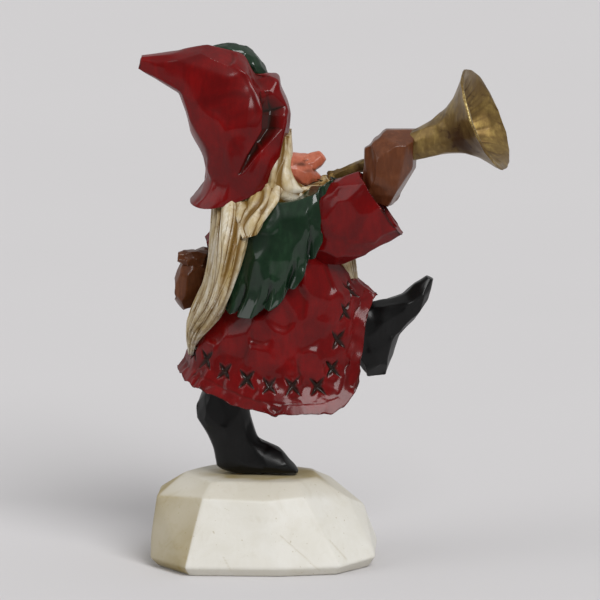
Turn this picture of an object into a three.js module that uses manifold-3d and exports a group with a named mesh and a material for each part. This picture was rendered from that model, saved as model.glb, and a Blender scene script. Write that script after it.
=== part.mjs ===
// Carved and painted wooden gnome bugler, striding on a faceted block.
// Millimetres, +Z up. The figure faces +X and its right side is towards -Y.
// The origin is the middle of the block's underside, which is the face that the figurine rests on.
//
// Every piece is carved from its own blank. Neighbours meet with a thin glue gap, and turned
// dowels carry the load across each joint.

import * as THREE from 'three';
import { ConvexGeometry } from 'three/addons/geometries/ConvexGeometry.js';
import { mergeVertices } from 'three/addons/utils/BufferGeometryUtils.js';
import Module from 'manifold-3d';

const wasm = await Module();
wasm.setup();

// ---- Driving dimensions -------------------------------------------------------------------

const GLUE_GAP = 0.3;            // space left between two neighbouring pieces
const MERGE = 1e-4;              // vertices closer than this are one vertex
const SLIVER = 0.08;             // ridges and slivers finer than this are pared off
const PIN_RADIUS = 1.1;          // birch dowels
const PIN_SIDES = 10;

const BLOCK_TOP = 20.9;          // height of the flat on which the boot stands
const SOLE = BLOCK_TOP + GLUE_GAP;

const COAT_TOP = 88;             // neck of the coat
const COAT_ARCH = 54;            // height of the middle of the coat's underside
const CAPE_TOP = 89.5;

const HORN_START = new THREE.Vector3(15.6, 0, 91.5);
const HORN_MOUTH = new THREE.Vector3(52.5, -8.5, 107.3);
const HORN_LENGTH = HORN_START.distanceTo(HORN_MOUTH);
const BELL_RADIUS = 12.8;
const BELL_WALL = 0.9;
const TUBE_SOCKET = 4;           // how far the tube is plugged into the bell

// ---- Shaping helpers ----------------------------------------------------------------------

// A smooth curve through vectors, read with getPoint(0..1).
function through(vectors) {
  return new THREE.CatmullRomCurve3(vectors, false, 'centripetal');
}

// Straight-line interpolation in rows of [key, value, value, ...] that rise by key.
function rowAt(rows, key) {
  const last = rows.length - 1;
  if (key <= rows[0][0]) return rows[0];
  if (key >= rows[last][0]) return rows[last];
  const upper = rows.findIndex((row) => row[0] >= key);
  const share = (key - rows[upper - 1][0]) / (rows[upper][0] - rows[upper - 1][0]);
  return rows[upper].map((value, i) => THREE.MathUtils.lerp(rows[upper - 1][i], value, share));
}

// Turns a triangle mesh into a solid whose faces point outwards.
function solidOf(geometry) {
  geometry.deleteAttribute('normal');
  geometry.deleteAttribute('uv');
  const merged = mergeVertices(geometry, MERGE);
  const vertProperties = Float32Array.from(merged.getAttribute('position').array);
  const triVerts = Uint32Array.from(merged.getIndex().array);
  const solid = new wasm.Manifold(new wasm.Mesh({ numProp: 3, vertProperties, triVerts }));
  if (solid.volume() > 0) return solid;
  for (let i = 0; i < triVerts.length; i += 3) {
    [triVerts[i], triVerts[i + 1]] = [triVerts[i + 1], triVerts[i]];
  }
  return new wasm.Manifold(new wasm.Mesh({ numProp: 3, vertProperties, triVerts }));
}

// Bends a capped cylinder into a carved form. place() gets the share of the way along it,
// the angle round it, and 1 on the skin or 0 at the middle of an end.
function bent(place, sides, steps) {
  const geometry = new THREE.CylinderGeometry(1, 1, 1, sides, steps);
  const position = geometry.getAttribute('position');
  for (let i = 0; i < position.count; i += 1) {
    const skin = Math.round(Math.hypot(position.getX(i), position.getZ(i)));
    const angle = Math.atan2(position.getX(i), position.getZ(i));
    const point = place(0.5 - position.getY(i), angle, skin);
    position.setXYZ(i, point.x, point.y, point.z);
  }
  return solidOf(geometry);
}

// A form that is drawn in side view. Each section is [back x, back z, front x, front z,
// half depth, y of its middle], and the sections are joined by a smooth skin. The depth runs
// along Y, or on a form that itself runs along Y, at right angles to the width.
function sideLoft(sections, grow, { sides = 16, steps = 12, runsAlongY = false } = {}) {
  const middles = [];
  const widths = [];
  const depths = [];
  for (const [backX, backZ, frontX, frontZ, depth, y = 0] of sections) {
    const width = new THREE.Vector3((frontX - backX) / 2, 0, (frontZ - backZ) / 2);
    middles.push(new THREE.Vector3((frontX + backX) / 2, y, (frontZ + backZ) / 2));
    const deep = runsAlongY ? new THREE.Vector3(-width.z, 0, width.x) : new THREE.Vector3(0, 1, 0);
    widths.push(width.setLength(width.length() + grow));
    depths.push(deep.setLength(depth + grow));
  }
  const spine = through(middles);
  const width = through(widths);
  const depth = through(depths);
  const place = (share, angle, skin) => {
    const point = spine.getPoint(share);
    point.addScaledVector(width.getPoint(share), skin * Math.cos(angle));
    point.addScaledVector(depth.getPoint(share), skin * Math.sin(angle));
    const end = share === 0 ? -1 : Number(share === 1);
    return point.addScaledVector(spine.getTangent(share), end * grow);
  };
  return bent(place, sides, steps);
}

// A garment that hangs round the body. hem rows are [degrees from the front, hem height],
// shape rows are [height, back x, front x, half depth], and the skin flares at the hem. bulge
// pushes the skin out and lift raises it towards the neck, each by the angle from the front.
function robe({ top, arch, hem, shape, flare, flareLength, bulge, lift }, grow) {
  const place = (share, angle, skin) => {
    const degrees = Math.abs(THREE.MathUtils.radToDeg(angle));
    const rim = rowAt(hem, degrees)[1] - grow;
    const z = THREE.MathUtils.lerp(top + grow, rim, share);
    const [, back, front, halfDepth] = rowAt(shape, z);
    const out = flare * Math.exp((rim - z) / flareLength) + grow + bulge(angle, z);
    const x = (back + front) / 2 + skin * Math.cos(angle) * ((front - back) / 2 + out);
    const y = skin * Math.sin(angle) * (halfDepth + out);
    const isUnderside = share === 1 && skin === 0;
    const raised = z + lift(angle) * (1 - share) * skin;
    return new THREE.Vector3(x, y, isUnderside ? arch - grow : raised);
  };
  return bent(place, 32, 9);
}

// A ball that is stretched along the three axes.
function ovoid([x, y, z], [rx, ry, rz], grow, sides = 16) {
  const geometry = new THREE.SphereGeometry(1, sides, sides / 2);
  geometry.scale(rx + grow, ry + grow, rz + grow);
  geometry.translate(x, y, z);
  return solidOf(geometry);
}

// A dowel from one point to another.
function dowel(from, to, grow, radius = PIN_RADIUS) {
  const start = new THREE.Vector3(...from);
  const axis = new THREE.Vector3(...to).sub(start);
  const geometry = new THREE.CylinderGeometry(
    radius + grow, radius + grow, axis.length() + 2 * grow, PIN_SIDES);
  const up = new THREE.Vector3(0, 1, 0);
  geometry.applyQuaternion(new THREE.Quaternion().setFromUnitVectors(up, axis.clone().normalize()));
  geometry.translate(...start.addScaledVector(axis, 0.5));
  return solidOf(geometry);
}

function union(...solids) {
  return solids.reduce((sum, solid) => sum.add(solid));
}

// The horn is turned on the lathe round its own +Z axis and then tipped into the hand.
const hornTurn = new THREE.Quaternion().setFromUnitVectors(
  new THREE.Vector3(0, 0, 1), HORN_MOUTH.clone().sub(HORN_START).normalize());

function turned(profile) {
  const geometry = new THREE.LatheGeometry(profile.map(([r, s]) => new THREE.Vector2(r, s)), 24);
  geometry.rotateX(Math.PI / 2);
  return geometry;
}

function intoHand(geometry) {
  return solidOf(geometry.applyQuaternion(hornTurn).translate(...HORN_START));
}

// ---- The block ----------------------------------------------------------------------------

// Corners of the split and pared block, ring by ring from the underside up.
const BLOCK_CORNERS = [
  [-24.6, -9, 0], [-17.2, -20.4, 0], [4, -21.4, 0], [17, -19, 0], [24.6, -10, 0],
  [25, 8, 0], [16, 19, 0], [-4, 20.6, 0], [-18, 18.2, 0], [-24.6, 8, 0],
  [-26.7, -10, 2], [-18.4, -21.6, 2], [4.4, -22.5, 2], [18, -20.2, 2], [26.3, -11, 2.6],
  [26.8, 8, 3], [17, 20.4, 2.6], [-4, 22, 2.2], [-19.2, 19.5, 2], [-26.5, 8, 2],
  [-26.6, -8, 7], [-25.3, -6.5, 16.2], [-14.3, -17, 17.9], [0, -18.2, 17.4], [9.6, -16, 18],
  [19.7, -5, 16], [23.6, 2, 12.8], [16, 11, 17.4], [3, 17.6, 16.6], [-14, 15.6, 17.4],
  [-24.4, 5, 16.4], [-12, -12, BLOCK_TOP], [7.6, -12, BLOCK_TOP], [12.4, -6, BLOCK_TOP],
  [11.6, 4, BLOCK_TOP], [2, 10, BLOCK_TOP], [-12, 9, BLOCK_TOP], [-18.4, 1, BLOCK_TOP],
];

function block() {
  return solidOf(new ConvexGeometry(BLOCK_CORNERS.map((corner) => new THREE.Vector3(...corner))));
}

// ---- Boots --------------------------------------------------------------------------------

const standingBoot = (grow) => union(
  sideLoft([
    [-12.6, 52, -3.8, 52, 4.4, -2], [-13.2, 46, -3.6, 46, 4.6, -2],
    [-14, 41, -3.5, 40, 4.7, -2], [-16.4, 35.6, -3.2, 35.6, 4.6, -2],
    [-13.8, 31.2, -1.9, 31, 4.2, -2], [-11.8, 27.6, -0.6, 27.6, 3.9, -2],
    [-10.8, SOLE + 1.8, -2, SOLE + 1.8, 3.6, -2],
  ], grow, { sides: 12, steps: 12 }),
  sideLoft([
    [-10.9, SOLE, -10.7, 26.4, 3.2, -2], [-6, SOLE, -5.6, 29.4, 4, -2],
    [0, SOLE, 0.4, 28.6, 4.2, -2.2], [4, SOLE, 4.6, 26.1, 4.1, -2.5],
    [8, SOLE, 8.2, 22.6, 1.8, -2.8],
  ], grow, { sides: 12, steps: 8 }),
);

const raisedBoot = (grow) => union(
  sideLoft([
    [5, 60, 5, 48.6, 5, 5.6], [14, 60.4, 14, 48.2, 5.2, 5.8], [22.6, 60.6, 22.6, 46.8, 5, 6],
    [27.4, 60.6, 29, 47.6, 4.4, 6],
  ], grow, { sides: 12, steps: 8 }),
  sideLoft([
    [24.4, 43.4, 28.6, 43.6, 3.4, 6], [21.8, 48, 30.2, 47.4, 4.4, 6],
    [23, 54.4, 32.2, 52.8, 4.6, 6], [27, 60, 35.6, 56.4, 4.4, 6],
    [31.2, 61.8, 38.2, 59.6, 4, 6], [35, 65, 39.4, 64, 3, 6], [37.6, 66.9, 40.1, 66.6, 1.6, 6],
  ], grow, { sides: 12, steps: 12 }),
);

// ---- Coat and cape ------------------------------------------------------------------------

const coatCut = {
  top: COAT_TOP,
  arch: COAT_ARCH,
  hem: [
    [0, 64], [14, 62], [25, 57], [32, 48.4], [38, 42.6], [49, 38.8], [62, 37.8],
    [90, 38], [117, 40], [141, 43.2], [180, 45.8],
  ],
  shape: [
    [38, -17.4, 24.2, 15.8], [46, -17.4, 23.8, 15.4], [54, -16.6, 23.6, 14.9],
    [64, -11.8, 23.6, 14.2], [67, -10.4, 21.8, 14], [72, -8.6, 19, 13.4], [80, -6.8, 14.4, 11.8],
    [85, -5.4, 10.4, 8.8], [88, -4, 7, 6],
  ],
  flare: 3.2,
  flareLength: 3.6,
  bulge: () => 0,
  lift: () => 0,
};
const coat = (grow) => robe(coatCut, grow);

// The cape is carried out over the left elbow at the back and over the raised right shoulder.
const swell = (angle, z, at) => at.out
  * Math.exp(-((angle - at.angle) ** 2) / at.spread - ((z - at.height) ** 2) / 60);
const LEFT_ELBOW = { angle: 2.5, height: 76, out: 4.4, spread: 0.18 };
const RIGHT_SHOULDER = { angle: -0.75, height: 81, out: 3.6, spread: 0.3 };
const capeCut = {
  top: CAPE_TOP,
  arch: 80,
  hem: [
    [0, 86.6], [14, 85.4], [35, 81], [50, 75], [60, 70.8], [71, 67], [83, 63.4],
    [100, 60.8], [121, 62.2], [150, 65], [180, 66.4],
  ],
  shape: [
    [60, -14.4, 17, 17], [66, -12.6, 20, 17], [74, -10.8, 21.4, 16.4],
    [82, -9, 20, 14.6], [87, -7.6, 16.4, 11.4], [89.5, -6, 12, 8.6],
  ],
  flare: 0.7,
  flareLength: 2,
  bulge: (angle, z) => swell(angle, z, LEFT_ELBOW) + swell(angle, z, RIGHT_SHOULDER),
  lift: (angle) => swell(angle, RIGHT_SHOULDER.height, RIGHT_SHOULDER),
};
const cape = (grow) => robe(capeCut, grow);

// ---- Head, hair and hat -------------------------------------------------------------------

const head = (grow) => union(
  ovoid([-2.2, 0, 92.6], [9.4, 8.6, 8.6], grow),
  ovoid([7.4, 0, 94.2], [4.6, 5.4, 4], grow, 12),
  ovoid([9, -2.9, 92.4], [2.9, 2.6, 2.3], grow, 12),
  ovoid([9, 2.9, 92.4], [2.9, 2.6, 2.3], grow, 12),
  ovoid([12.3, 0, 95.6], [2.3, 2.1, 2.2], grow, 12),
);

const fringe = (grow) => sideLoft([
  [3.2, 95, 7, 96.2, 5.2], [2.8, 98, 6.9, 98.6, 5.4], [2.6, 101, 6.6, 101.4, 4.6],
  [2.8, 103.2, 5.6, 103.8, 2.6],
], grow, { sides: 12, steps: 6 });

const hat = (grow) => sideLoft([
  [-16.5, 86.2, 3.6, 93, 10.2], [-14, 90.2, 5, 98, 10.4], [-13.9, 95.4, 5.9, 104, 10.4],
  [-16.6, 101.6, 5.9, 109.4, 9.8], [-18.6, 107.6, 2.4, 115.4, 8.6], [-19.9, 111.6, -5.4, 120.6, 7],
  [-23.6, 114.2, -12.6, 123, 5], [-27.2, 117, -19.4, 121.8, 3.2], [-29.5, 118.8, -27, 121.4, 1.5],
], grow, { sides: 20, steps: 16 });

const hatLeaf = (grow) => sideLoft([
  [-12.6, 121.6, -12.4, 123.6, 1, 1.6], [-9, 120, -8, 123.8, 2.4, 3],
  [-4.4, 117.4, -2.8, 121.4, 3, 4], [-0.6, 113.6, 1.2, 117, 2.6, 4.4], [2, 111, 3, 113, 1, 4.4],
], grow, { sides: 10, steps: 8 });

const mane = (grow) => sideLoft([
  [-12.6, 90, -2, 90, 10.2, -0.6], [-12.6, 84, -1.6, 84, 13.6, -0.8],
  [-13, 77.6, -2.6, 78.4, 17.4, -0.8], [-13.4, 71.6, -4.8, 71.4, 17, -1.2],
  [-14.8, 65, -7.6, 64, 15, -1.6], [-17.6, 59.2, -10.2, 58.2, 11, -1.6],
  [-18.4, 54.6, -15.2, 53.4, 6, -1.8], [-17.6, 49.8, -16.6, 49.6, 2, -2],
], grow, { sides: 20, steps: 14 });

// A lock that curls forward below the hat in front of each ear.
const temple = (side) => (grow) => sideLoft([
  [-6, 87.6, 4, 91.2, 1.9, side * 8.4], [-6.6, 84.6, 3.4, 88, 2.3, side * 10],
  [-5, 82.4, 1.6, 84.6, 1.9, side * 11.4],
], grow, { sides: 10, steps: 6 });

const beard = (grow) => sideLoft([
  [2.4, 87.6, 13.6, 90.2, 8.2], [5.4, 83.4, 17, 85.6, 9], [9.6, 77.4, 20, 80, 8],
  [13.6, 71, 22.2, 73.4, 6], [17.6, 66.4, 22.6, 67.2, 3.2], [20.6, 63.8, 22.2, 64, 1],
], grow, { steps: 12 });

const moustacheHalf = (side, grow) => sideLoft([
  [12, 90.4, 15.4, 92.4, 1.5, side * -0.6], [11.8, 88.6, 15.4, 91.2, 1.8, side * 2.8],
  [9.6, 87, 13.4, 89.4, 1.7, side * 5.6], [6.8, 86, 9.4, 88, 1, side * 8],
], grow, { sides: 10, steps: 8, runsAlongY: true });
const moustache = (grow) => union(moustacheHalf(-1, grow), moustacheHalf(1, grow));

// ---- Arms ---------------------------------------------------------------------------------

const rightSleeve = (grow) => sideLoft([
  [9.4, 88, 10.6, 74, 4.4, -7.6], [15, 91.6, 18.2, 72.6, 5.2, -8.8],
  [19.6, 93.8, 25.4, 76.4, 6.2, -9.6], [22.4, 94.6, 32.4, 80, 6.4, -9.6],
], grow, { steps: 8 });

const leftSleeve = (grow) => sideLoft([
  [-7, 84.6, 4.4, 77, 5, 12], [-10.6, 78, 0.6, 67, 5.6, 15.4],
  [-13.6, 74, -9, 60, 5.4, 14],
], grow, { steps: 8 });

const rightMitten = (grow) => sideLoft([
  [23, 90.4, 31.2, 85, 4.4, -8.6], [22.9, 95, 34.6, 92.2, 5.6, -7],
  [24, 98.8, 36.4, 97, 6, -6], [25.6, 102.4, 36.8, 101, 5.8, -5.6],
  [28, 104, 36.2, 103.8, 4.6, -5.6],
], grow, { sides: 12, steps: 8 });

const leftMitten = (grow) => union(
  sideLoft([
    [-10.6, 71, -10.6, 61.4, 3.6, 13], [-14.8, 72.4, -14.6, 59.2, 4.4, 10.6],
    [-18.8, 70.2, -18.8, 58.8, 4, 8.4], [-21, 65.6, -20.6, 61.4, 2, 7.4],
  ], grow, { sides: 12, steps: 8 }),
  sideLoft([
    [-15.6, 68.6, -13.6, 72.6, 2, 7.4], [-18.4, 69.2, -17.6, 72.8, 1.9, 6.4],
    [-20.6, 70.2, -20.2, 72.2, 1.2, 6],
  ], grow, { sides: 8, steps: 6 }),
);

// ---- Horn, drawn in its own frame as [radius, distance from the lips] ---------------------

const BELL_START = 15;
const tubeProfile = () => [
  [0, 0], [1.5, 0], [1.6, 1], [1.2, 2.6], [1.3, 6], [1.5, BELL_START + TUBE_SOCKET - GLUE_GAP],
  [0, BELL_START + TUBE_SOCKET - GLUE_GAP],
];

const bellOutside = [
  [2.5, BELL_START], [3.2, 20], [3.8, 25], [4.6, 29.4], [6, 33], [8.4, 36.6], [11.2, 39.4],
  [BELL_RADIUS, HORN_LENGTH - 0.6],
];
const bellProfile = () => [
  [0, BELL_START + TUBE_SOCKET], [1.8, BELL_START + TUBE_SOCKET], [1.8, BELL_START],
  ...bellOutside, [BELL_RADIUS - BELL_WALL, HORN_LENGTH], [10, 39.6], [7.2, 36.8], [4.8, 33],
  [3.4, 29.4], [2.2, 26], [0, 24.6],
];

// The horn as one plain bar, slightly thicker than the real one, for boring the hand.
const hornBore = () => intoHand(turned([
  [0, -GLUE_GAP], [1.9, -GLUE_GAP], [1.9, 14.6],
  ...bellOutside.map(([r, s]) => [r + GLUE_GAP, s]), [0, HORN_LENGTH],
]));

// ---- Dowels, from and to ------------------------------------------------------------------

const PINS = {
  base_pin: [[-5.5, -2, 12], [-5.5, -2, 30]],
  standing_leg_pin: [[-8, -2, 44], [-7, -1.6, 60]],
  raised_leg_pin: [[-2, 5.6, 54.4], [14, 5.8, 54.4]],
  neck_pin: [[-1.6, 0, 79], [-1.6, 0, 91]],
  hat_pin: [[-3.6, 0, 95], [-5.4, 0, 107]],
  right_shoulder_pin: [[8, -4, 80.4], [15.4, -11, 83]],
  left_shoulder_pin: [[-1, 6, 80], [-4.4, 15, 75.4]],
  right_wrist_pin: [[24, -10.4, 83.6], [28, -8.4, 92.4]],
  left_wrist_pin: [[-8.4, 14.2, 67.6], [-15.4, 10.6, 66]],
};
const pinSolid = (name, grow) => dowel(...PINS[name], grow);
const allBores = union(...Object.keys(PINS).map((name) => pinSolid(name, GLUE_GAP)));

// ---- Fitting the pieces to each other -----------------------------------------------------

// Carves a piece clear of its neighbours and of every dowel, and drops the offcuts.
function fitted(piece, ...neighbours) {
  const clear = neighbours.reduce((rest, neighbour) => rest.subtract(neighbour(GLUE_GAP)), piece(0));
  const bodies = clear.subtract(allBores).decompose();
  const largest = bodies.reduce((best, body) => (body.volume() > best.volume() ? body : best));
  return largest.simplify(SLIVER);
}

// ---- Paint --------------------------------------------------------------------------------

const paint = (color, roughness = 0.4) => new THREE.MeshStandardMaterial({
  color, roughness, metalness: 0,
});
const paints = {
  red: paint(0x671615, 0.3),
  green: paint(0x233727, 0.28),
  black: paint(0x171716, 0.35),
  cream: paint(0xa6997a, 0.5),
  ivory: paint(0xd6d3c8, 0.55),
  skin: paint(0xa45c48, 0.45),
  leather: paint(0x5a3822, 0.45),
  birch: paint(0xc9a878, 0.7),
  gold: new THREE.MeshStandardMaterial({ color: 0x8c6f3e, roughness: 0.35, metalness: 0.7 }),
};

// ---- The figurine -------------------------------------------------------------------------

const figurine = new THREE.Group();

// Adds a carved piece with its own origin at the place where it is fixed.
function addPiece(name, solid, material, [x, y, z]) {
  const { vertProperties, triVerts, numProp } = solid.getMesh();
  const geometry = new THREE.BufferGeometry();
  const positions = Array.from({ length: vertProperties.length / numProp }, (_, i) => (
    Array.from(vertProperties.subarray(i * numProp, i * numProp + 3)))).flat();
  geometry.setAttribute('position', new THREE.Float32BufferAttribute(positions, 3));
  geometry.setIndex(Array.from(triVerts));
  geometry.translate(-x, -y, -z);
  geometry.computeVertexNormals();
  const mesh = new THREE.Mesh(geometry, material);
  mesh.name = name;
  mesh.position.set(x, y, z);
  figurine.add(mesh);
}

const carved = [
  ['base', fitted(block), paints.ivory, [0, 0, 0]],
  ['standing_boot', fitted(standingBoot), paints.black, PINS.base_pin[1]],
  ['raised_boot', fitted(raisedBoot), paints.black, PINS.raised_leg_pin[1]],
  ['coat', fitted(coat, standingBoot, raisedBoot), paints.red, PINS.standing_leg_pin[1]],
  ['cape', fitted(cape, coat, head, beard, moustache), paints.green, PINS.neck_pin[0]],
  ['head', fitted(head, coat, moustache, hornBore), paints.skin, PINS.neck_pin[1]],
  ['hat', fitted(hat, head, fringe), paints.red, PINS.hat_pin[1]],
  ['hat_leaf', fitted(hatLeaf, hat), paints.green, [-3, 4, 119]],
  ['fringe', fitted(fringe, head), paints.cream, [5, 0, 98]],
  ['mane', fitted(mane, head, hat, cape, coat, leftSleeve, leftMitten), paints.cream, [-10, 0, 84]],
  ['right_temple_lock', fitted(temple(-1), head, hat, cape, mane), paints.cream, [0, -9, 87]],
  ['left_temple_lock', fitted(temple(1), head, hat, cape, mane, leftSleeve), paints.cream,
    [0, 9, 87]],
  ['beard', fitted(beard, head, coat, rightSleeve, moustache, hornBore), paints.cream,
    [10, 0, 84]],
  ['moustache', fitted(moustache, hornBore), paints.cream, [12, 0, 90]],
  ['right_sleeve', fitted(rightSleeve, cape, coat, rightMitten, moustache), paints.red,
    PINS.right_shoulder_pin[1]],
  ['left_sleeve', fitted(leftSleeve, cape, coat, leftMitten), paints.red,
    PINS.left_shoulder_pin[1]],
  ['right_mitten', fitted(rightMitten, hornBore), paints.leather, PINS.right_wrist_pin[1]],
  ['left_mitten', fitted(leftMitten, cape), paints.leather, PINS.left_wrist_pin[1]],
];
for (const [name, solid, material, anchor] of carved) addPiece(name, solid, material, anchor);

for (const name of Object.keys(PINS)) {
  addPiece(name, pinSolid(name, 0), paints.birch, PINS[name][0]);
}

// The two turned pieces of the horn share the frame that tips them into the hand.
const horn = new THREE.Group();
horn.position.copy(HORN_START);
horn.quaternion.copy(hornTurn);
for (const [name, profile] of [['horn_tube', tubeProfile()], ['horn_bell', bellProfile()]]) {
  const mesh = new THREE.Mesh(turned(profile), paints.gold);
  mesh.name = name;
  horn.add(mesh);
}
figurine.add(horn);

export default figurine;
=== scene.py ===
"""Carved and painted wooden gnome bugler on a faceted block.

Every visible piece is a closed skin on a grid of rows and columns, worked out with numpy in
millimetres. Some are fitted to the box of the CAD node that they stand for, most are whittled
into knife facets, and each is then written as a mesh in metres.
"""

import logging
import math
from dataclasses import dataclass, field
from enum import Enum
from typing import Any, Callable, Optional, Sequence

import bpy
import numpy as np
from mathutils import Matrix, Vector


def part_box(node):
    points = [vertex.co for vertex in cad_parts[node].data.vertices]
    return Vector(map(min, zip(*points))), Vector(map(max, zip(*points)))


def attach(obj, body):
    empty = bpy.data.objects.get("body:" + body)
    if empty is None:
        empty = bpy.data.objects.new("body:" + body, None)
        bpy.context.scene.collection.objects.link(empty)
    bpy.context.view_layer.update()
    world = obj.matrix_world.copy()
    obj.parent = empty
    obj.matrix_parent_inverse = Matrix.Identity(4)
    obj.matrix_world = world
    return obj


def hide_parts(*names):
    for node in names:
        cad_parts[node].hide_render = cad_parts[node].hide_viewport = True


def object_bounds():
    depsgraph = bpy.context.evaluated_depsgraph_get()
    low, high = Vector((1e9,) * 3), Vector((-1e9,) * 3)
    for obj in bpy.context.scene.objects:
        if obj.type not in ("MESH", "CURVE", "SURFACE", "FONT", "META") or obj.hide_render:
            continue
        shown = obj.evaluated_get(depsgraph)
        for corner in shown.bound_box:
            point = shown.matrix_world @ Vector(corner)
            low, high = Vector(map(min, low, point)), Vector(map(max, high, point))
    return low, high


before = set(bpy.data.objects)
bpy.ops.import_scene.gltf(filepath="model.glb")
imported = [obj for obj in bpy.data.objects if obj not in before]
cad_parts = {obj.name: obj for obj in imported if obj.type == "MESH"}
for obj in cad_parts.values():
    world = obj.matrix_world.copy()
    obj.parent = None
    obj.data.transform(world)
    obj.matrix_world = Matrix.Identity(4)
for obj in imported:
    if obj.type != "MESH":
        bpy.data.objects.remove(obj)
CAD_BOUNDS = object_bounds()

LOG = logging.getLogger("gnome")
Array = np.ndarray
Color = tuple[float, float, float]
Rows = Sequence[Sequence[float]]

MM = 0.001
TAU = 2 * math.pi
BODY = "root"

# Whittling: places to choose from, the most facets, how unequal they are, and the number
# of vertices worked on at a time.
SCATTER_POOL = 6000
MOST_FACETS = 420
UNEVEN_FACETS = 0.3
WHITTLE_BLOCK = 8192

# Bends per millimetre at which a hollow is full of glaze, and an arris is bare.
HOLLOW_BEND = 1.6
WORN_BEND = 2.2

# Waves per metre of the noises in the paint.
PATCH_WAVES = 130
BRUSH_WAVES = 900
FIBRE_WAVES = 1500
SPECK_WAVES = 2600
CLOUD_WAVES = 210
FLECK_WAVES = 1500
SPECK_DEPTH = 0.000012


# ---- Numbers along a curve -----------------------------------------------------------------


def read_table(table: Rows, share: Array) -> Array:
    """Reads a table of rows as a smooth curve.

    Each value is a uniform Catmull-Rom cubic through its column of the table.

    Args:
        table: Rows of equal length, evenly spaced along the curve.
        share: Where to read it, from 0 at the first row to 1 at the last.

    Returns:
        One row of values for each share.
    """
    rows = np.asarray(table, float)
    padded = np.vstack([2 * rows[0] - rows[1], rows, 2 * rows[-1] - rows[-2]])
    place = np.clip(share, 0, 1) * (len(rows) - 1)
    first = np.minimum(place.astype(int), len(rows) - 2)
    f = (place - first)[:, None]
    a, b, c, d = (padded[first + k] for k in range(4))
    bend = (2 * a - 5 * b + 4 * c - d) * f**2 + (3 * b - a - 3 * c + d) * f**3
    return 0.5 * (2 * b + (c - a) * f + bend)


def smooth_step(low: float, high: float, value: Array) -> Array:
    """Returns a ramp from 0 at low to 1 at high, level at both ends: 3t^2 - 2t^3."""
    t = np.clip((value - low) / (high - low), 0, 1)
    return t * t * (3 - 2 * t)


def bump_at(value: Array, centre: float, width: float) -> Array:
    """Returns a bell curve exp(-((value - centre) / width)^2)."""
    return np.exp(-(((value - centre) / width) ** 2))


def turn_between(angle: Array, other: Array) -> Array:
    """Returns the signed turn from one angle to another, from -pi to pi."""
    return (angle - other + math.pi) % TAU - math.pi


def power(value: Array, exponent: float) -> Array:
    """Returns |value|^exponent with the sign of value, which squares up an oval."""
    return np.sign(value) * np.abs(value) ** exponent


@dataclass(frozen=True)
class End:
    """How a form is closed at one end: a lip, and a floor sunk behind it.

    Attributes:
        lip: Width of the lip as a share of the half width. 1 is a flat end.
        sunk: How deep the floor lies, as a share of the form's length.
        rows: Grid rows spent on the end.
    """

    lip: float = 1.0
    sunk: float = 0.0
    rows: int = 9

    def path(self) -> Array:
        """Returns rows of (share along, share out) from the middle of the end to its rim."""
        if self.lip >= 1:
            stops = [(0, 0), (0, 0.97)]
        else:
            floor = 1 - self.lip
            stops = [(self.sunk, 0), (self.sunk, floor * 0.96), (0.15 * self.sunk, floor), (0, 0.99)]
        places = np.linspace(0, len(stops) - 1, self.rows)
        index = np.arange(len(stops))
        columns = [np.interp(places, index, [stop[k] for stop in stops]) for k in (0, 1)]
        return np.stack(columns, 1)


FLAT = End()


def skin_path(rows: int, start: End, end: End) -> Array:
    """Joins two ends and the wall between them into one path over a form.

    Args:
        rows: Grid rows of the wall.
        start: The end at share 0.
        end: The end at share 1.

    Returns:
        Rows of (share along, share out).
    """
    wall = np.linspace(0, 1, rows)
    first = start.path()
    last = end.path()[::-1] * np.array([-1, 1]) + np.array([1, 0])
    return np.vstack([first, np.stack([wall, np.ones(rows)], 1), last])


# ---- A closed skin -------------------------------------------------------------------------


def scatter(points: Array, spacing: float, rng: np.random.Generator) -> Array:
    """Picks uneven but well spread places: each new one is the farthest from those before.

    Args:
        points: Places to pick from, one per row.
        spacing: About how far apart the picks are.
        rng: Seeded generator for the unevenness.

    Returns:
        The picked places.
    """
    pool = points[rng.permutation(len(points))[:SCATTER_POOL]]
    ease = rng.uniform(0.55, 1, len(pool))
    reach = np.full(len(pool), np.inf)
    picked = [0]
    while len(picked) < MOST_FACETS:
        reach = np.minimum(reach, np.linalg.norm(pool - pool[picked[-1]], axis=1))
        best = int(np.argmax(reach * ease))
        if reach[best] * ease[best] < 0.62 * spacing:
            break
        picked.append(best)
    return pool[picked]


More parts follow.
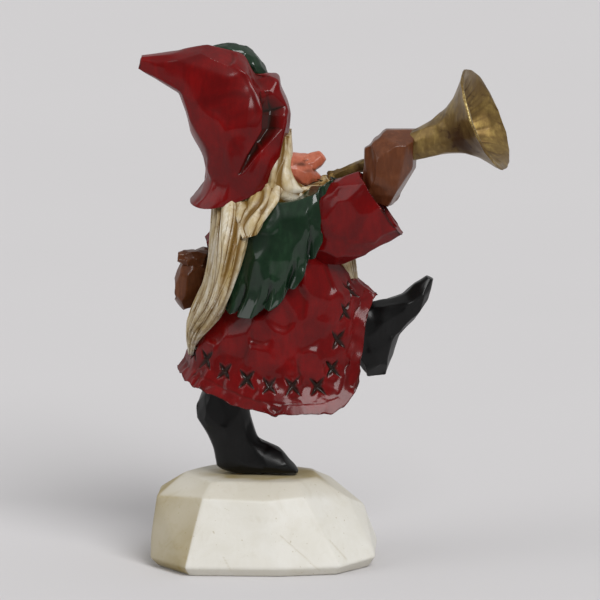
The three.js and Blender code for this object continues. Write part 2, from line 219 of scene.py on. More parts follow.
class Skin:
    """A closed surface on a grid. The first and last rows are poles, and the columns go round."""

    def __init__(self, points: Array, wrap: Array, along: Array) -> None:
        """Keeps the grid.

        Args:
            points: Rows by columns by 3, in millimetres.
            wrap: Angle of each column.
            along: Share along the form of each row.
        """
        self.points = points
        self.wrap = wrap[None, :]
        self.along = along[:, None]
        self.stain_and_shade = np.zeros(points.shape[:2])

    def raw_normals(self) -> Array:
        """Returns outward normals, as long as the area of their cell."""
        across = np.roll(self.points, -1, 1) - np.roll(self.points, 1, 1)
        down = np.gradient(self.points, axis=0)
        normals = np.cross(across, down)
        middle = self.points.mean((0, 1))
        if ((self.points - middle) * normals).sum() < 0:
            normals = -normals
        return normals

    def normals(self) -> Array:
        """Returns outward unit normals. A pole takes the mean of the row beside it."""
        normals = self.raw_normals()
        normals[0] = normals[1].mean(0)
        normals[-1] = normals[-2].mean(0)
        return normals / np.maximum(np.linalg.norm(normals, axis=2, keepdims=True), 1e-12)

    def girth(self) -> Array:
        """Returns each vertex's share of the way round its row, measured by length."""
        steps = np.linalg.norm(np.roll(self.points, -1, 1) - self.points, axis=2)
        total = np.maximum(steps.sum(1, keepdims=True), 1e-9)
        return (np.cumsum(steps, 1) - steps) / total

    def push(self, height: Array) -> "Skin":
        """Moves the skin out along its normals by height, in millimetres."""
        self.points = self.points + self.normals() * height[..., None]
        return self

    def soften(self, times: int) -> "Skin":
        """Rounds the edges: each vertex moves half way to the mean of its four neighbours."""
        for _ in range(times):
            p = self.points
            around = (np.roll(p, 1, 1) + np.roll(p, -1, 1)) / 2
            inner = (around[1:-1] + (p[:-2] + p[2:]) / 2) / 2
            self.points = np.concatenate([p[:1], (p[1:-1] + inner) / 2, p[-1:]])
        return self

    def fit(self, node: str, axes: str = "xyz") -> "Skin":
        """Stretches the skin, so that it fills the box of its CAD node.

        Args:
            node: The CAD node's name.
            axes: The axes along which it is fitted.
        """
        low, high = (np.array(corner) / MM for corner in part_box(node))
        own_low, own_high = self.points.min((0, 1)), self.points.max((0, 1))
        for k in ("xyz".index(axis) for axis in axes):
            share = (self.points[..., k] - own_low[k]) / (own_high[k] - own_low[k])
            self.points[..., k] = low[k] + share * (high[k] - low[k])
        return self

    def whittle(self, spacing: float, seed: int, scoop: float = 0.05, strength: float = 1.0,
                stretch: Sequence[float] = (1, 1, 1), edge: float = 0.22, limit: float = 0.9,
                tilt: float = 0.0, where: Optional[Array] = None) -> "Skin":
        """Cuts the skin into knife facets.

        The skin is shared out between scattered places. Each share is laid flat on its own
        mean plane, hollowed by scoop in the middle, and shares meet over a narrow blend.

        Args:
            spacing: About how wide a facet is.
            seed: Seed of the scatter.
            scoop: Depth of the hollow in the middle of a facet.
            strength: 1 lays the skin quite flat, and 0 leaves it as it is.
            stretch: How much longer a facet is along each axis.
            edge: Width of the blend between two facets.
            limit: The most that the skin moves.
            tilt: How far a facet leans off its mean plane, in radians.
            where: Strength for each vertex, on top of strength.
        """
        rng = np.random.default_rng(seed)
        shape = self.points.shape
        points = self.points.reshape(-1, 3)
        normals = self.normals().reshape(-1, 3)
        scaled = points / np.array(stretch, float)
        keys = np.hstack([scaled, normals * spacing * 0.8]).astype(np.float32)
        places = scatter(keys, spacing, rng)
        count = len(places)
        pull = rng.uniform(0, UNEVEN_FACETS * spacing**2, count)

        def gaps(block: Array) -> Array:
            """Returns squared distances from a block of keys to every place, less its pull."""
            cross = block @ places.T
            return (block**2).sum(1)[:, None] - 2 * cross + (places**2).sum(1) - pull

        blocks = [slice(i, i + WHITTLE_BLOCK) for i in range(0, len(points), WHITTLE_BLOCK)]
        owner = np.concatenate([gaps(keys[block]).argmin(1) for block in blocks])
        size = np.maximum(np.bincount(owner, minlength=count), 1)[:, None]

        def mean_of(values: Array) -> Array:
            """Returns the mean of values over each place's share."""
            sums = [np.bincount(owner, values[:, k], minlength=count) for k in range(3)]
            return np.stack(sums, 1) / size

        centre = mean_of(points)
        facing = mean_of(normals)
        facing /= np.maximum(np.linalg.norm(facing, axis=1, keepdims=True), 1e-9)
        facing += rng.normal(0, tilt, facing.shape)
        facing /= np.maximum(np.linalg.norm(facing, axis=1, keepdims=True), 1e-9)
        level = (centre * facing).sum(1)
        moved = np.zeros(len(points))
        for block in blocks:
            gap = gaps(keys[block])
            nearest = gap.min(1, keepdims=True)
            weight = np.exp(-(gap - nearest) / (2 * spacing * edge))
            rise = level[None, :] - points[block] @ facing.T
            rise = rise / np.clip(normals[block] @ facing.T, 0.45, 1)
            rise = np.clip(rise, -limit, limit)
            bowl = scoop * np.clip(1 - gap / (0.6 * spacing) ** 2, 0, 1)
            moved[block] = ((rise - bowl) * weight).sum(1) / weight.sum(1)
        amount = strength if where is None else strength * where.reshape(-1)
        self.points = (points + normals * (moved * amount)[:, None]).reshape(shape)
        return self

    def slice(self, cuts: Rows) -> "Skin":
        """Takes thin flat cuts off the skin with a straight knife.

        What lies beyond a cut's plane, within its reach, is pressed back onto the plane.

        Args:
            cuts: Rows of azimuth, elevation, a point x, y, z on the cut, and its reach.
        """
        for azimuth, elevation, x, y, z, reach in cuts:
            facing = facing_of(azimuth, elevation)
            gap = self.points - np.array([x, y, z])
            beyond = np.maximum(gap @ facing, 0)
            near = smooth_step(1.0, 0.85, np.linalg.norm(gap, axis=2) / reach)
            self.points = self.points - facing * (beyond * near)[..., None]
        return self

    def curvature(self, step: int) -> Array:
        """Returns how sharply the skin bends, per millimetre: over 0 in a hollow.

        It is the larger bend of the two grid directions, from a vertex and the ones
        that lie step cells away on either side.
        """
        p, n = self.points, self.normals()
        index = np.arange(len(p))
        pairs = (
            (np.roll(p, -step, 1), np.roll(p, step, 1)),
            (p[np.minimum(index + step, len(p) - 1)], p[np.maximum(index - step, 0)]),
        )
        total = np.zeros(p.shape[:2])
        for one, other in pairs:
            span = ((one - other) ** 2).sum(2) / 4
            bend = (((one + other) / 2 - p) * n).sum(2) * 2 / np.maximum(span, 0.02)
            total = np.where(np.abs(bend) > np.abs(total), bend, total)
        total[:step] = total[-step:] = 0
        return total

    def to_object(self, name: str) -> bpy.types.Object:
        """Writes the skin as a mesh in metres, with its paint masks.

        The mesh gets two attributes: stain_and_shade, where antiquing gathers and where shade
        is painted, and rub, where an edge is worn. Its UV map is (share round, share along).

        Args:
            name: Name of the new object.

        Returns:
            The object, linked to the scene.
        """
        rows, columns = self.points.shape[:2]
        bend = self.curvature(2)
        # This mask holds antiquing in hollows, and the painted shade that some pieces add to it.
        stain_and_shade = np.clip(self.stain_and_shade + np.clip(bend / HOLLOW_BEND, 0, 1) * 0.7, 0, 1)
        rub = np.clip(-bend / WORN_BEND, 0, 1)
        middle = self.points[1:-1].reshape(-1, 3)
        points = np.vstack([self.points[0].mean(0), middle, self.points[-1].mean(0)]) * MM
        last = len(points) - 1
        here = np.arange(columns)
        beside = (here + 1) % columns
        first_row = 1 + np.arange(rows - 3)[:, None] * columns
        quads = np.stack([first_row + here, first_row + columns + here,
                          first_row + columns + beside, first_row + beside], 2).reshape(-1, 4)
        top = np.stack([np.zeros(columns, int), 1 + here, 1 + beside], 1)
        low = last - columns
        bottom = np.stack([low + here, np.full(columns, last), low + beside], 1)
        u, u_next = here / columns, (here + 1) / columns
        v = self.along[:, 0]
        v_here = np.repeat(v[1:-2], columns)
        v_down = np.repeat(v[2:-1], columns)
        left, right = np.tile(u, rows - 3), np.tile(u_next, rows - 3)
        quad_uv = np.stack([left, v_here, left, v_down, right, v_down, right, v_here], 1)
        top_uv = np.stack([u, u * 0 + v[0], u, u * 0 + v[1], u_next, u * 0 + v[1]], 1)
        low_uv = np.stack([u, u * 0 + v[-2], u, u * 0 + v[-1], u_next, u * 0 + v[-2]], 1)
        if (self.raw_normals()[1:-1] * self.face_turns()).sum() < 0:
            quads, top, bottom = quads[:, ::-1], top[:, ::-1], bottom[:, ::-1]
            quad_uv, top_uv, low_uv = (
                uv.reshape(len(uv), -1, 2)[:, ::-1].reshape(len(uv), -1)
                for uv in (quad_uv, top_uv, low_uv))
        corners = np.concatenate([quads.ravel(), top.ravel(), bottom.ravel()]).astype(np.int32)
        totals = np.concatenate([np.full(len(quads), 4), np.full(2 * columns, 3)])
        mesh = bpy.data.meshes.new(name)
        mesh.vertices.add(len(points))
        mesh.vertices.foreach_set("co", points.ravel())
        mesh.loops.add(len(corners))
        mesh.loops.foreach_set("vertex_index", corners)
        mesh.polygons.add(len(totals))
        starts = np.concatenate([[0], np.cumsum(totals)[:-1]]).astype(np.int32)
        mesh.polygons.foreach_set("loop_start", starts)
        mesh.update(calc_edges=True)
        mesh.validate()
        mesh.polygons.foreach_set("use_smooth", np.ones(len(totals), bool))
        for label, mask in (("stain_and_shade", stain_and_shade), ("rub", rub)):
            values = np.concatenate([[mask[0].mean()], mask[1:-1].ravel(), [mask[-1].mean()]])
            attribute = mesh.attributes.new(label, "FLOAT", "POINT")
            attribute.data.foreach_set("value", values.astype(np.float32))
        layer = mesh.uv_layers.new(name="wrap")
        uv = np.concatenate([quad_uv.ravel(), top_uv.ravel(), low_uv.ravel()])
        layer.data.foreach_set("uv", uv.astype(np.float32))
        made = bpy.data.objects.new(name, mesh)
        bpy.context.scene.collection.objects.link(made)
        return made

    def face_turns(self) -> Array:
        """Returns the normals that the grid's own winding gives, for comparison."""
        across = np.roll(self.points, -1, 1) - self.points
        down = np.gradient(self.points, axis=0)
        return np.cross(down, across)[1:-1]


def loft(sections: Rows, columns: int, rows: int, square: float = 1.0, start: End = FLAT,
         end: End = FLAT, runs_along_y: bool = False) -> Skin:
    """Carries an oval section through side-view sections.

    At share v and angle a the skin is middle(v) + cos(a)^square width(v) + sin(a)^square
    depth(v), where middle, width and depth are smooth curves through the sections.

    Args:
        sections: Rows of back x, back z, front x, front z, half depth, middle y.
        columns: Grid columns.
        rows: Grid rows of the wall.
        square: Under 1 makes the oval boxy.
        start: How the first section is closed.
        end: How the last section is closed.
        runs_along_y: Whether the form runs along Y, with its depth across its width.

    Returns:
        The skin.
    """
    path = skin_path(rows, start, end)
    back_x, back_z, front_x, front_z, depth, middle_y = read_table(sections, path[:, 0]).T
    none = np.zeros_like(back_x)
    middle = np.stack([(back_x + front_x) / 2, middle_y, (back_z + front_z) / 2], 1)
    width = np.stack([(front_x - back_x) / 2, none, (front_z - back_z) / 2], 1)
    if runs_along_y:
        deep = np.stack([-width[:, 2], none, width[:, 0]], 1)
        deep *= (depth / np.linalg.norm(deep, axis=1))[:, None]
    else:
        deep = np.stack([none, depth, none], 1)
    wrap = np.arange(columns) / columns * TAU
    out = path[:, 1][:, None, None]
    cosine = power(np.cos(wrap), square)[None, :, None]
    sine = power(np.sin(wrap), square)[None, :, None]
    points = middle[:, None] + out * (cosine * width[:, None] + sine * deep[:, None])
    return Skin(points, wrap, path[:, 0])


def star(centre: Sequence[float], reach: Callable[[Array], Array], columns: int,
         rows: int) -> Skin:
    """Makes the skin that rays from a centre reach.

    Args:
        centre: Where the rays start.
        reach: Takes unit directions and returns how far each ray goes.
        columns: Grid columns, round the Z axis.
        rows: Grid rows, from the top to the bottom.

    Returns:
        The skin.
    """
    wrap = np.arange(columns) / columns * TAU
    polar = np.linspace(0, math.pi, rows)
    ring = np.sin(polar)[:, None]
    rays = np.stack([ring * np.cos(wrap), ring * np.sin(wrap),
                     np.cos(polar)[:, None] * np.ones(columns)], 2)
    points = np.array(centre, float) + rays * reach(rays)[..., None]
    return Skin(points, wrap, polar / math.pi)


def facing_of(azimuth: Any, elevation: Any) -> Array:
    """Returns the unit vector at degrees round from +X towards +Y, and degrees up."""
    a, e = np.radians(azimuth), np.radians(elevation)
    return np.stack([np.cos(e) * np.cos(a), np.cos(e) * np.sin(a), np.sin(e)], -1)


def plane_reach(normals: Array, levels: Array, arris: float) -> Callable[[Array], Array]:
    """Makes the reach of a solid that is cut by planes.

    Along a ray each plane is reached at level / (normal . ray). The skin is a soft minimum
    of these, nearest - w log(sum exp((nearest - reach) / w)), whose width w rounds the
    arrises.

    Args:
        normals: The planes' unit normals.
        levels: Their distances from the centre of the rays.
        arris: The width w.

    Returns:
        A function from rays to reaches, for star().
    """

    def reach(rays: Array) -> Array:
        """Returns how far the rays go."""
        far = levels / np.maximum(rays.reshape(-1, 3) @ normals.T, 1e-4)
        nearest = far.min(1, keepdims=True)
        soft = np.exp(-(far - nearest) / arris).sum(1)
        return (nearest[:, 0] - arris * np.log(soft)).reshape(rays.shape[:2])

    return reach


def hewn(centre: Sequence[float], cuts: Rows, arris: float, columns: int, rows: int) -> Skin:
    """Hews a block with flat cuts.

    Args:
        centre: A point inside.
        cuts: Rows of azimuth, elevation and a point x, y, z on the cut.
        arris: Rounding of the edges between cuts.
        columns: Grid columns.
        rows: Grid rows.

    Returns:
        The skin.
    """
    table = np.array(cuts, float)
    normals = facing_of(table[:, 0], table[:, 1])
    levels = ((table[:, 2:] - np.array(centre, float)) * normals).sum(1)
    return star(centre, plane_reach(normals, levels, arris), columns, rows)


def gouge_strands(skin: Skin, count: int, depth: float, seed: int, sway: float = 0.012,
                  share: float = 0.42) -> Skin:
    """Cuts V grooves that run along a skin and wander a little, as in carved hair.

    A groove's depth falls in a straight line from its middle to its two edges, and the
    middle follows a slow sine as it goes along.

    Args:
        skin: The skin to cut.
        count: Grooves round the skin.
        depth: Depth of the deepest.
        seed: Seed of their places, depths and sway.
        sway: How far a groove wanders, as a share of the way round.
        share: Width of a groove against its pitch.

    Returns:
        The same skin.
    """
    rng = np.random.default_rng(seed)
    girth = skin.girth()
    cut = np.zeros_like(girth)
    lines = [(i / count, 1.0, share) for i in range(count)]
    lines += [((i + 0.5) / count, 0.4, 0.6 * share) for i in range(count)]
    for place, strong, wide in lines:
        waves = rng.uniform(0.4, 1.3)
        shift = sway * np.sin(TAU * (skin.along * waves + rng.random()))
        middle = place + rng.uniform(-0.28, 0.28) / count + shift
        gap = np.abs((girth - middle + 0.5) % 1 - 0.5) * count
        deep = depth * strong * rng.uniform(0.5, 1.0)
        fade = 0.65 + 0.35 * np.sin(TAU * (skin.along * rng.uniform(1, 2) + rng.random()))
        cut = np.maximum(cut, deep * fade * np.clip(1 - gap / wide / 0.5, 0, 1))
    ends = smooth_step(0, 0.02, skin.along) * smooth_step(1, 0.985, skin.along)
    skin.push(-cut * ends)
    skin.stain_and_shade = np.maximum(skin.stain_and_shade, np.clip(cut / depth * 1.7, 0, 1) ** 1.5)
    return skin


# ---- Shader nodes as Python ----------------------------------------------------------------


class Wire:
    """A shader socket on which Python arithmetic adds Math nodes."""

    def __init__(self, graph: "Graph", socket: bpy.types.NodeSocket) -> None:
        """Wraps a socket of a graph."""
        self.graph = graph
        self.socket = socket

    def math(self, operation: str, *others: Any, swap: bool = False) -> "Wire":
        """Adds a Math node.

        Args:
            operation: The node's operation.
            others: The other inputs, as wires or numbers.
            swap: Whether the first other input comes before this wire.

        Returns:
            The node's result.
        """
        values = [self, *others]
        if swap:
            values[0], values[1] = values[1], values[0]
        return self.graph.node("ShaderNodeMath", {"operation": operation}, dict(enumerate(values)))

    def __add__(self, other: Any) -> "Wire":
        """Returns self + other."""
        return self.math("ADD", other)

    def __sub__(self, other: Any) -> "Wire":
        """Returns self - other."""
        return self.math("SUBTRACT", other)

    def __rsub__(self, other: Any) -> "Wire":
        """Returns other - self."""
        return self.math("SUBTRACT", other, swap=True)

    def __mul__(self, other: Any) -> "Wire":
        """Returns self * other."""
        return self.math("MULTIPLY", other)

    __radd__ = __add__
    __rmul__ = __mul__

    def ramp(self, low: float, high: float) -> "Wire":
        """Returns 0 below low, 1 above high, and a smooth step between."""
        settings = {"interpolation_type": "SMOOTHSTEP"}
        return self.graph.node("ShaderNodeMapRange", settings, {0: self, 1: low, 2: high})

    def clip(self) -> "Wire":
        """Returns the value held between 0 and 1."""
        return self.graph.node("ShaderNodeClamp", {}, {0: self})


class Graph:
    """The node tree of one material."""

    def __init__(self, name: str) -> None:
        """Makes a material with an empty node tree."""
        self.material = bpy.data.materials.new(name)
        self.material.use_nodes = True
        self.tree = self.material.node_tree
        self.tree.nodes.clear()

    def node(self, kind: str, settings: dict[str, Any], inputs: dict[Any, Any],
             output: Any = 0) -> Wire:
        """Adds a node.

        Args:
            kind: The node's type.
            settings: Its properties, which are set first.
            inputs: Values or wires by socket name or number.
            output: Name or number of the output that is returned.

        Returns:
            The output.
        """
        made = self.tree.nodes.new(kind)
        for key, value in settings.items():
            setattr(made, key, value)
        for key, value in inputs.items():
            if isinstance(value, Wire):
                self.tree.links.new(value.socket, made.inputs[key])
            else:
                made.inputs[key].default_value = value
        return Wire(self, made.outputs[output])

    def place(self, stretch: Sequence[float] = (1, 1, 1),
              turn: Sequence[float] = (0, 0, 0)) -> Wire:
        """Returns object coordinates, scaled by stretch and turned."""
        coords = self.node("ShaderNodeTexCoord", {}, {}, "Object")
        return self.node("ShaderNodeMapping", {},
                         {"Vector": coords, "Scale": tuple(stretch), "Rotation": tuple(turn)})

    def noise(self, place: Wire, scale: float, detail: float, rough: float,
              bend: float = 0.0) -> Wire:
        """Returns a noise between 0 and 1, with scale waves per metre."""
        inputs = {"Vector": place, "Scale": scale, "Detail": detail, "Roughness": rough,
                  "Distortion": bend}
        return self.node("ShaderNodeTexNoise", {}, inputs)

    def mask(self, name: str) -> Wire:
        """Returns a mask that is stored on the mesh."""
        return self.node("ShaderNodeAttribute", {"attribute_name": name}, {}, "Fac")

    def mix(self, share: Wire, one: Any, other: Any) -> Wire:
        """Returns colour one where share is 0 and colour other where it is 1."""
        settings = {"data_type": "RGBA"}
        colours = [c if isinstance(c, Wire) else (*c, 1.0) for c in (one, other)]
        return self.node("ShaderNodeMix", settings, {0: share, 6: colours[0], 7: colours[1]}, 2)

    def bumped(self, height: Wire, depth: float, under: Optional[Wire] = None) -> Wire:
        """Returns normals bent by a height between 0 and 1 that stands for depth metres."""
        inputs = {"Height": height, "Distance": depth, "Strength": 1.0}
        if under is not None:
            inputs["Normal"] = under
        return self.node("ShaderNodeBump", {}, inputs)

    def finish(self, inputs: dict[str, Any]) -> bpy.types.Material:
        """Closes the tree with a Principled shader.

        Args:
            inputs: Values or wires by socket name.

        Returns:
            The material.
        """
        shader = self.node("ShaderNodeBsdfPrincipled", {}, inputs)
        out = self.tree.nodes.new("ShaderNodeOutputMaterial")
        self.tree.links.new(shader.socket, out.inputs[0])
        return self.material


def rgb(red: float, green: float, blue: float) -> Color:
    """Turns a display colour from 0 to 255 into linear light."""
    return tuple(((c / 255 + 0.055) / 1.055) ** 2.4 if c > 10.3 else c / 255 / 12.92
                 for c in (red, green, blue))


class Slot(Enum):
    """The record's material slots."""

    IVORY = "ivory_paint"
    BLACK = "black_paint"
    RED = "red_paint"
    GREEN = "green_paint"
    CREAM = "cream_paint"
    SKIN = "skin_paint"
    MITTEN = "mitten_paint"
    GOLD = "gold_paint"
    BIRCH = "bare_birch"


@dataclass(frozen=True)
class PaintFinish:
    """Brushed wood paint under varnish, with antiquing in the cuts, painted shade, and rubbed edges.

    Attributes:
        slot: The record's slot.
        body: The paint's colour.
        deep: Its darker tone, in patches.
        bright: Its lighter tone, where the brush left less.
        glaze_and_shade_colour: The colour of the antiquing that stays in the cuts, and of the painted
            shade.
        rubbed: The colour that shows on worn edges.
        glaze_and_shade_amount: How much antiquing and painted shade there is.
        rubbing: How worn the edges are.
        roughness: The varnish's roughness, before variation.
        varnish: The weight of the clear coat.
        metal: 1 for metal powder paint.
        cloud: Glaze that is left in clouds on open faces.
        fleck: Amount of small dark flecks.
        grain: Depth of the wood grain under the paint, in metres.
        gloss: The paint's own reflection, below the varnish.
        brushed: How much of the tone follows brush strokes.
        polish: The varnish's roughness.
    """

    slot: Slot
    body: Color
    deep: Color
    bright: Color
    glaze_and_shade_colour: Color
    rubbed: Color
    glaze_and_shade_amount: float = 0.8
    rubbing: float = 0.3
    roughness: float = 0.34
    varnish: float = 0.35
    metal: float = 0.0
    cloud: float = 0.0
    fleck: float = 0.0
    grain: float = 0.00004
    gloss: float = 0.3
    brushed: float = 0.3
    polish: float = 0.2

    def build(self) -> bpy.types.Material:
        """Returns the finish's node material."""
        g = Graph(self.slot.value)
        whole = g.place()
        strokes = g.place((1, 1, 0.22), (0.2, 0.35, 0))
        patches = g.noise(whole, PATCH_WAVES, 4, 0.6, 0.6)
        brush = g.noise(strokes, BRUSH_WAVES, 4, 0.6)
        fibres = g.noise(g.place((1, 1, 0.06)), FIBRE_WAVES, 3, 0.6)
        specks = g.noise(whole, SPECK_WAVES, 2, 0.5)
        stain_and_shade = g.mask("stain_and_shade")
        rub = g.mask("rub")
        tone = (patches * (1 - self.brushed) + brush * self.brushed).clip()
        colour = g.mix(tone.ramp(0.28, 0.78), self.deep, self.body)
        colour = g.mix((brush * patches * 2).ramp(0.45, 0.85) * self.brushed, colour, self.bright)
        clouds = g.noise(whole, CLOUD_WAVES, 5, 0.65, 1.2).ramp(0.5, 0.78) * self.cloud
        # Antiquing in the cuts and the painted shade in the mask both darken the colour toward one
        # dark colour.
        settled_glaze_and_shade = (stain_and_shade * self.glaze_and_shade_amount * (0.75 + patches * 0.6)).clip()
        glazed_and_shaded = (settled_glaze_and_shade + clouds).clip()
        colour = g.mix(glazed_and_shaded, colour, self.glaze_and_shade_colour)
        chipped = (rub * 0.3 + specks * 0.5 + patches * 0.5).ramp(0.82, 0.95) * self.rubbing
        colour = g.mix(chipped, colour, self.rubbed)
        fleck = g.noise(whole, FLECK_WAVES, 1, 0.4).ramp(0.745, 0.775) * self.fleck
        colour = g.mix(fleck, colour, self.glaze_and_shade_colour)
        rough = self.roughness + brush * 0.14 + glazed_and_shaded * 0.16 - 0.07
        height = (brush * 0.6 + fibres * 0.5).clip()
        normal = g.bumped(height, self.grain)
        normal = g.bumped(specks, SPECK_DEPTH, normal)
        return g.finish({
            "Base Color": colour, "Roughness": rough.clip(), "Metallic": self.metal,
            "Coat Weight": self.varnish, "Coat Roughness": self.polish, "Normal": normal,
            "Specular IOR Level": self.gloss,
        })


FINISHES = (
    PaintFinish(Slot.RED, rgb(112, 3, 4), rgb(84, 3, 4), rgb(128, 12, 12), rgb(28, 18, 11),
                rgb(196, 160, 150), glaze_and_shade_amount=0.9, rubbing=0.5, roughness=0.5, varnish=0.4,
                gloss=0.06, brushed=0.2, polish=0.17),
    PaintFinish(Slot.GREEN, rgb(22, 48, 28), rgb(14, 32, 19), rgb(40, 66, 44), rgb(8, 12, 8),
                rgb(84, 110, 88), rubbing=0.3, roughness=0.45, varnish=0.8, gloss=0.08,
                brushed=0.25, polish=0.11),
    PaintFinish(Slot.BLACK, rgb(13, 13, 13), rgb(8, 8, 8), rgb(26, 26, 27), rgb(7, 6, 6),
                rgb(92, 90, 88), rubbing=0.4, roughness=0.5, varnish=0.35, gloss=0.08,
                polish=0.28),
    PaintFinish(Slot.CREAM, rgb(218, 211, 192), rgb(168, 142, 84), rgb(232, 228, 218),
                rgb(112, 82, 30), rgb(230, 227, 218), glaze_and_shade_amount=1.2, rubbing=0.6, cloud=0.8,
                roughness=0.5, varnish=0.15, fleck=0.6, gloss=0.25),
    PaintFinish(Slot.IVORY, rgb(218, 216, 209), rgb(211, 208, 198), rgb(223, 222, 216),
                rgb(144, 124, 62), rgb(228, 225, 219), glaze_and_shade_amount=0.75, rubbing=0.2,
                roughness=0.55, varnish=0.0, cloud=0.1, fleck=0.4, grain=0.000012,
                gloss=0.25, brushed=0.12),
    PaintFinish(Slot.SKIN, rgb(194, 108, 82), rgb(160, 82, 56), rgb(206, 136, 108),
                rgb(84, 40, 20), rgb(214, 150, 124), glaze_and_shade_amount=0.8, cloud=0.3, roughness=0.45,
                varnish=0.3, gloss=0.2),
    PaintFinish(Slot.MITTEN, rgb(102, 56, 30), rgb(80, 42, 22), rgb(124, 76, 48),
                rgb(36, 18, 10), rgb(206, 190, 176), rubbing=0.7, roughness=0.45,
                varnish=0.4, gloss=0.1, cloud=0.3, brushed=0.35),
    PaintFinish(Slot.GOLD, rgb(156, 130, 70), rgb(104, 80, 42), rgb(196, 170, 102),
                rgb(72, 48, 24), rgb(206, 190, 134), glaze_and_shade_amount=1.0, rubbing=0.6, metal=0.7,
                cloud=0.9, roughness=0.42, varnish=0.2, gloss=0.4),
    PaintFinish(Slot.BIRCH, rgb(206, 172, 122), rgb(182, 142, 94), rgb(218, 190, 146),
                rgb(140, 104, 62), rgb(226, 204, 168), roughness=0.6, varnish=0.0),
)


# ---- Sub-assemblies ------------------------------------------------------------------------


@dataclass
class Piece:
    """A finished object, the CAD node that it stands for, and its material slot."""

    shape: bpy.types.Object
    node: str
    slot: Slot


@dataclass
class Assembly:
    """A group of pieces that are carved together."""

    pieces: list[Piece] = field(default_factory=list, init=False)

    def add(self, skin: Skin, name: str, node: str, slot: Slot) -> None:
        """Makes a piece of a skin.

        Args:
            skin: The carved skin.
            name: The piece's name.
            node: The CAD node that it replaces.
            slot: Its material slot.
        """
        self.pieces.append(Piece(skin.to_object(name), node, slot))

    def build(self) -> None:
        """Carves the pieces."""
        raise NotImplementedError

    def dress(self, materials: dict[Slot, bpy.types.Material]) -> None:
        """Paints each piece with its slot's material, ties it to its body, and hides the CAD node
        that it stands for.
        """
        for piece in self.pieces:
            piece.shape.data.materials.append(materials[piece.slot])
            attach(piece.shape, BODY)
            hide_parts(piece.node)
            count = len(piece.shape.data.polygons)
            LOG.info("%s stands for %s, %d faces", piece.shape.name, piece.node, count)


@dataclass
class Block(Assembly):
    """The faceted block that the figure stands on.

    Attributes:
        arris: How soft its edges are.
        columns: Grid columns.
        rows: Grid rows.
        unevenness: How far its faces are from flat.
        sole: Middle x and y and half length and width of the boot's sole.
        foot_stain: Glaze that has pooled round the sole.
        panel_stain: Glaze on the left end.
        scratches: Start x and z and end x and z of the hairlines on the front.
    """

    arris: float = 0.14
    columns: int = 370
    rows: int = 250
    unevenness: float = 0.1
    sole: tuple[float, float, float, float] = (0.6, -2.2, 7.6, 4.3)
    foot_stain: float = 1.6
    panel_stain: float = 0.85
    scratches: tuple[tuple[float, ...], ...] = (
        (3.9, 9.7, 13.3, 1.4), (-9.4, 4.6, -7.6, 1.6), (15.5, 8.2, 19.5, 3.4),
    )

    @staticmethod
    def line_mask(x: Array, z: Array, start: Sequence[float], end: Sequence[float]) -> Array:
        """Returns 1 on a hairline between two points of the side view, and 0 away from it."""
        run = np.subtract(end, start)
        share = ((x - start[0]) * run[0] + (z - start[1]) * run[1]) / (run @ run)
        share = np.clip(share, 0, 1)
        gap = np.hypot(x - start[0] - share * run[0], z - start[1] - share * run[1])
        return bump_at(gap, 0, 0.12)

    def planes(self) -> tuple[Array, Array]:
        """Returns the outer faces of the CAD block, as unit normals and their levels."""
        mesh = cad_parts["base"].data
        corners = np.zeros(len(mesh.vertices) * 3)
        mesh.vertices.foreach_get("co", corners)
        normals = np.zeros(len(mesh.polygons) * 3)
        mesh.polygons.foreach_get("normal", normals)
        centres = np.zeros(len(mesh.polygons) * 3)
        mesh.polygons.foreach_get("center", centres)
        corners, normals, centres = (a.reshape(-1, 3) for a in (corners / MM, normals, centres / MM))
        level = (normals * centres).sum(1)
        outer = (corners @ normals.T).max(0) < level + 0.02
        faces = np.column_stack([normals, level])[outer]
        once = np.unique(np.round(faces, 2), axis=0, return_index=True)[1]
        return faces[once, :3], faces[once, 3]

    def build(self) -> None:
        """Carves the block out of the planes of the CAD block, pools antiquing on it, and paints
        shade on its top and underside.
        """
        normals, levels = self.planes()
        low, high = (np.array(corner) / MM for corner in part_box("base"))
        centre = np.array([0, 0, (low[2] + high[2]) / 2])
        reach = plane_reach(normals, levels - normals @ centre, self.arris)
        skin = star(centre, reach, self.columns, self.rows)
        skin.fit("base")
        x, y, z = np.moveaxis(skin.points, 2, 0)
        uneven = np.sin(x * 0.31 + y * 0.2) * np.sin(y * 0.27 - z * 0.4 + 1)
        skin.push(self.unevenness * uneven * smooth_step(1.2, 4, z))
        away = np.hypot((x - self.sole[0]) / self.sole[2], (y - self.sole[1]) / self.sole[3])
        mottle = 0.75 + 0.25 * np.sin(x * 0.7 + 1.6 * np.sin(y * 0.45) + 0.5)
        pooled = np.exp(-((np.maximum(away - 0.9, 0) / 0.8) ** 2))
        skin.stain_and_shade += self.foot_stain * pooled * mottle * smooth_step(6, 1, high[2] - z)
        for x0, z0, x1, z1 in self.scratches:
            skin.stain_and_shade += 0.35 * self.line_mask(x, z, (x0, z0), (x1, z1)) * (y < 0)
        facing = skin.normals()
        left = smooth_step(-0.35, -0.6, facing[..., 0])
        skin.stain_and_shade += self.panel_stain * left * (0.92 + 0.12 * np.sin(y * 0.3 + z * 0.2))
        # Painted shade: faces that look up are darkened to beige, as the top is lit less than the
        # front.
        skin.stain_and_shade += 0.28 * smooth_step(0.55, 0.9, facing[..., 2])
        # Painted shade: faces that look down, on the low bevel, are darkened.
        skin.stain_and_shade += 0.15 * smooth_step(-0.15, -0.4, facing[..., 2])
        self.add(skin, "carved_block", "base", Slot.IVORY)


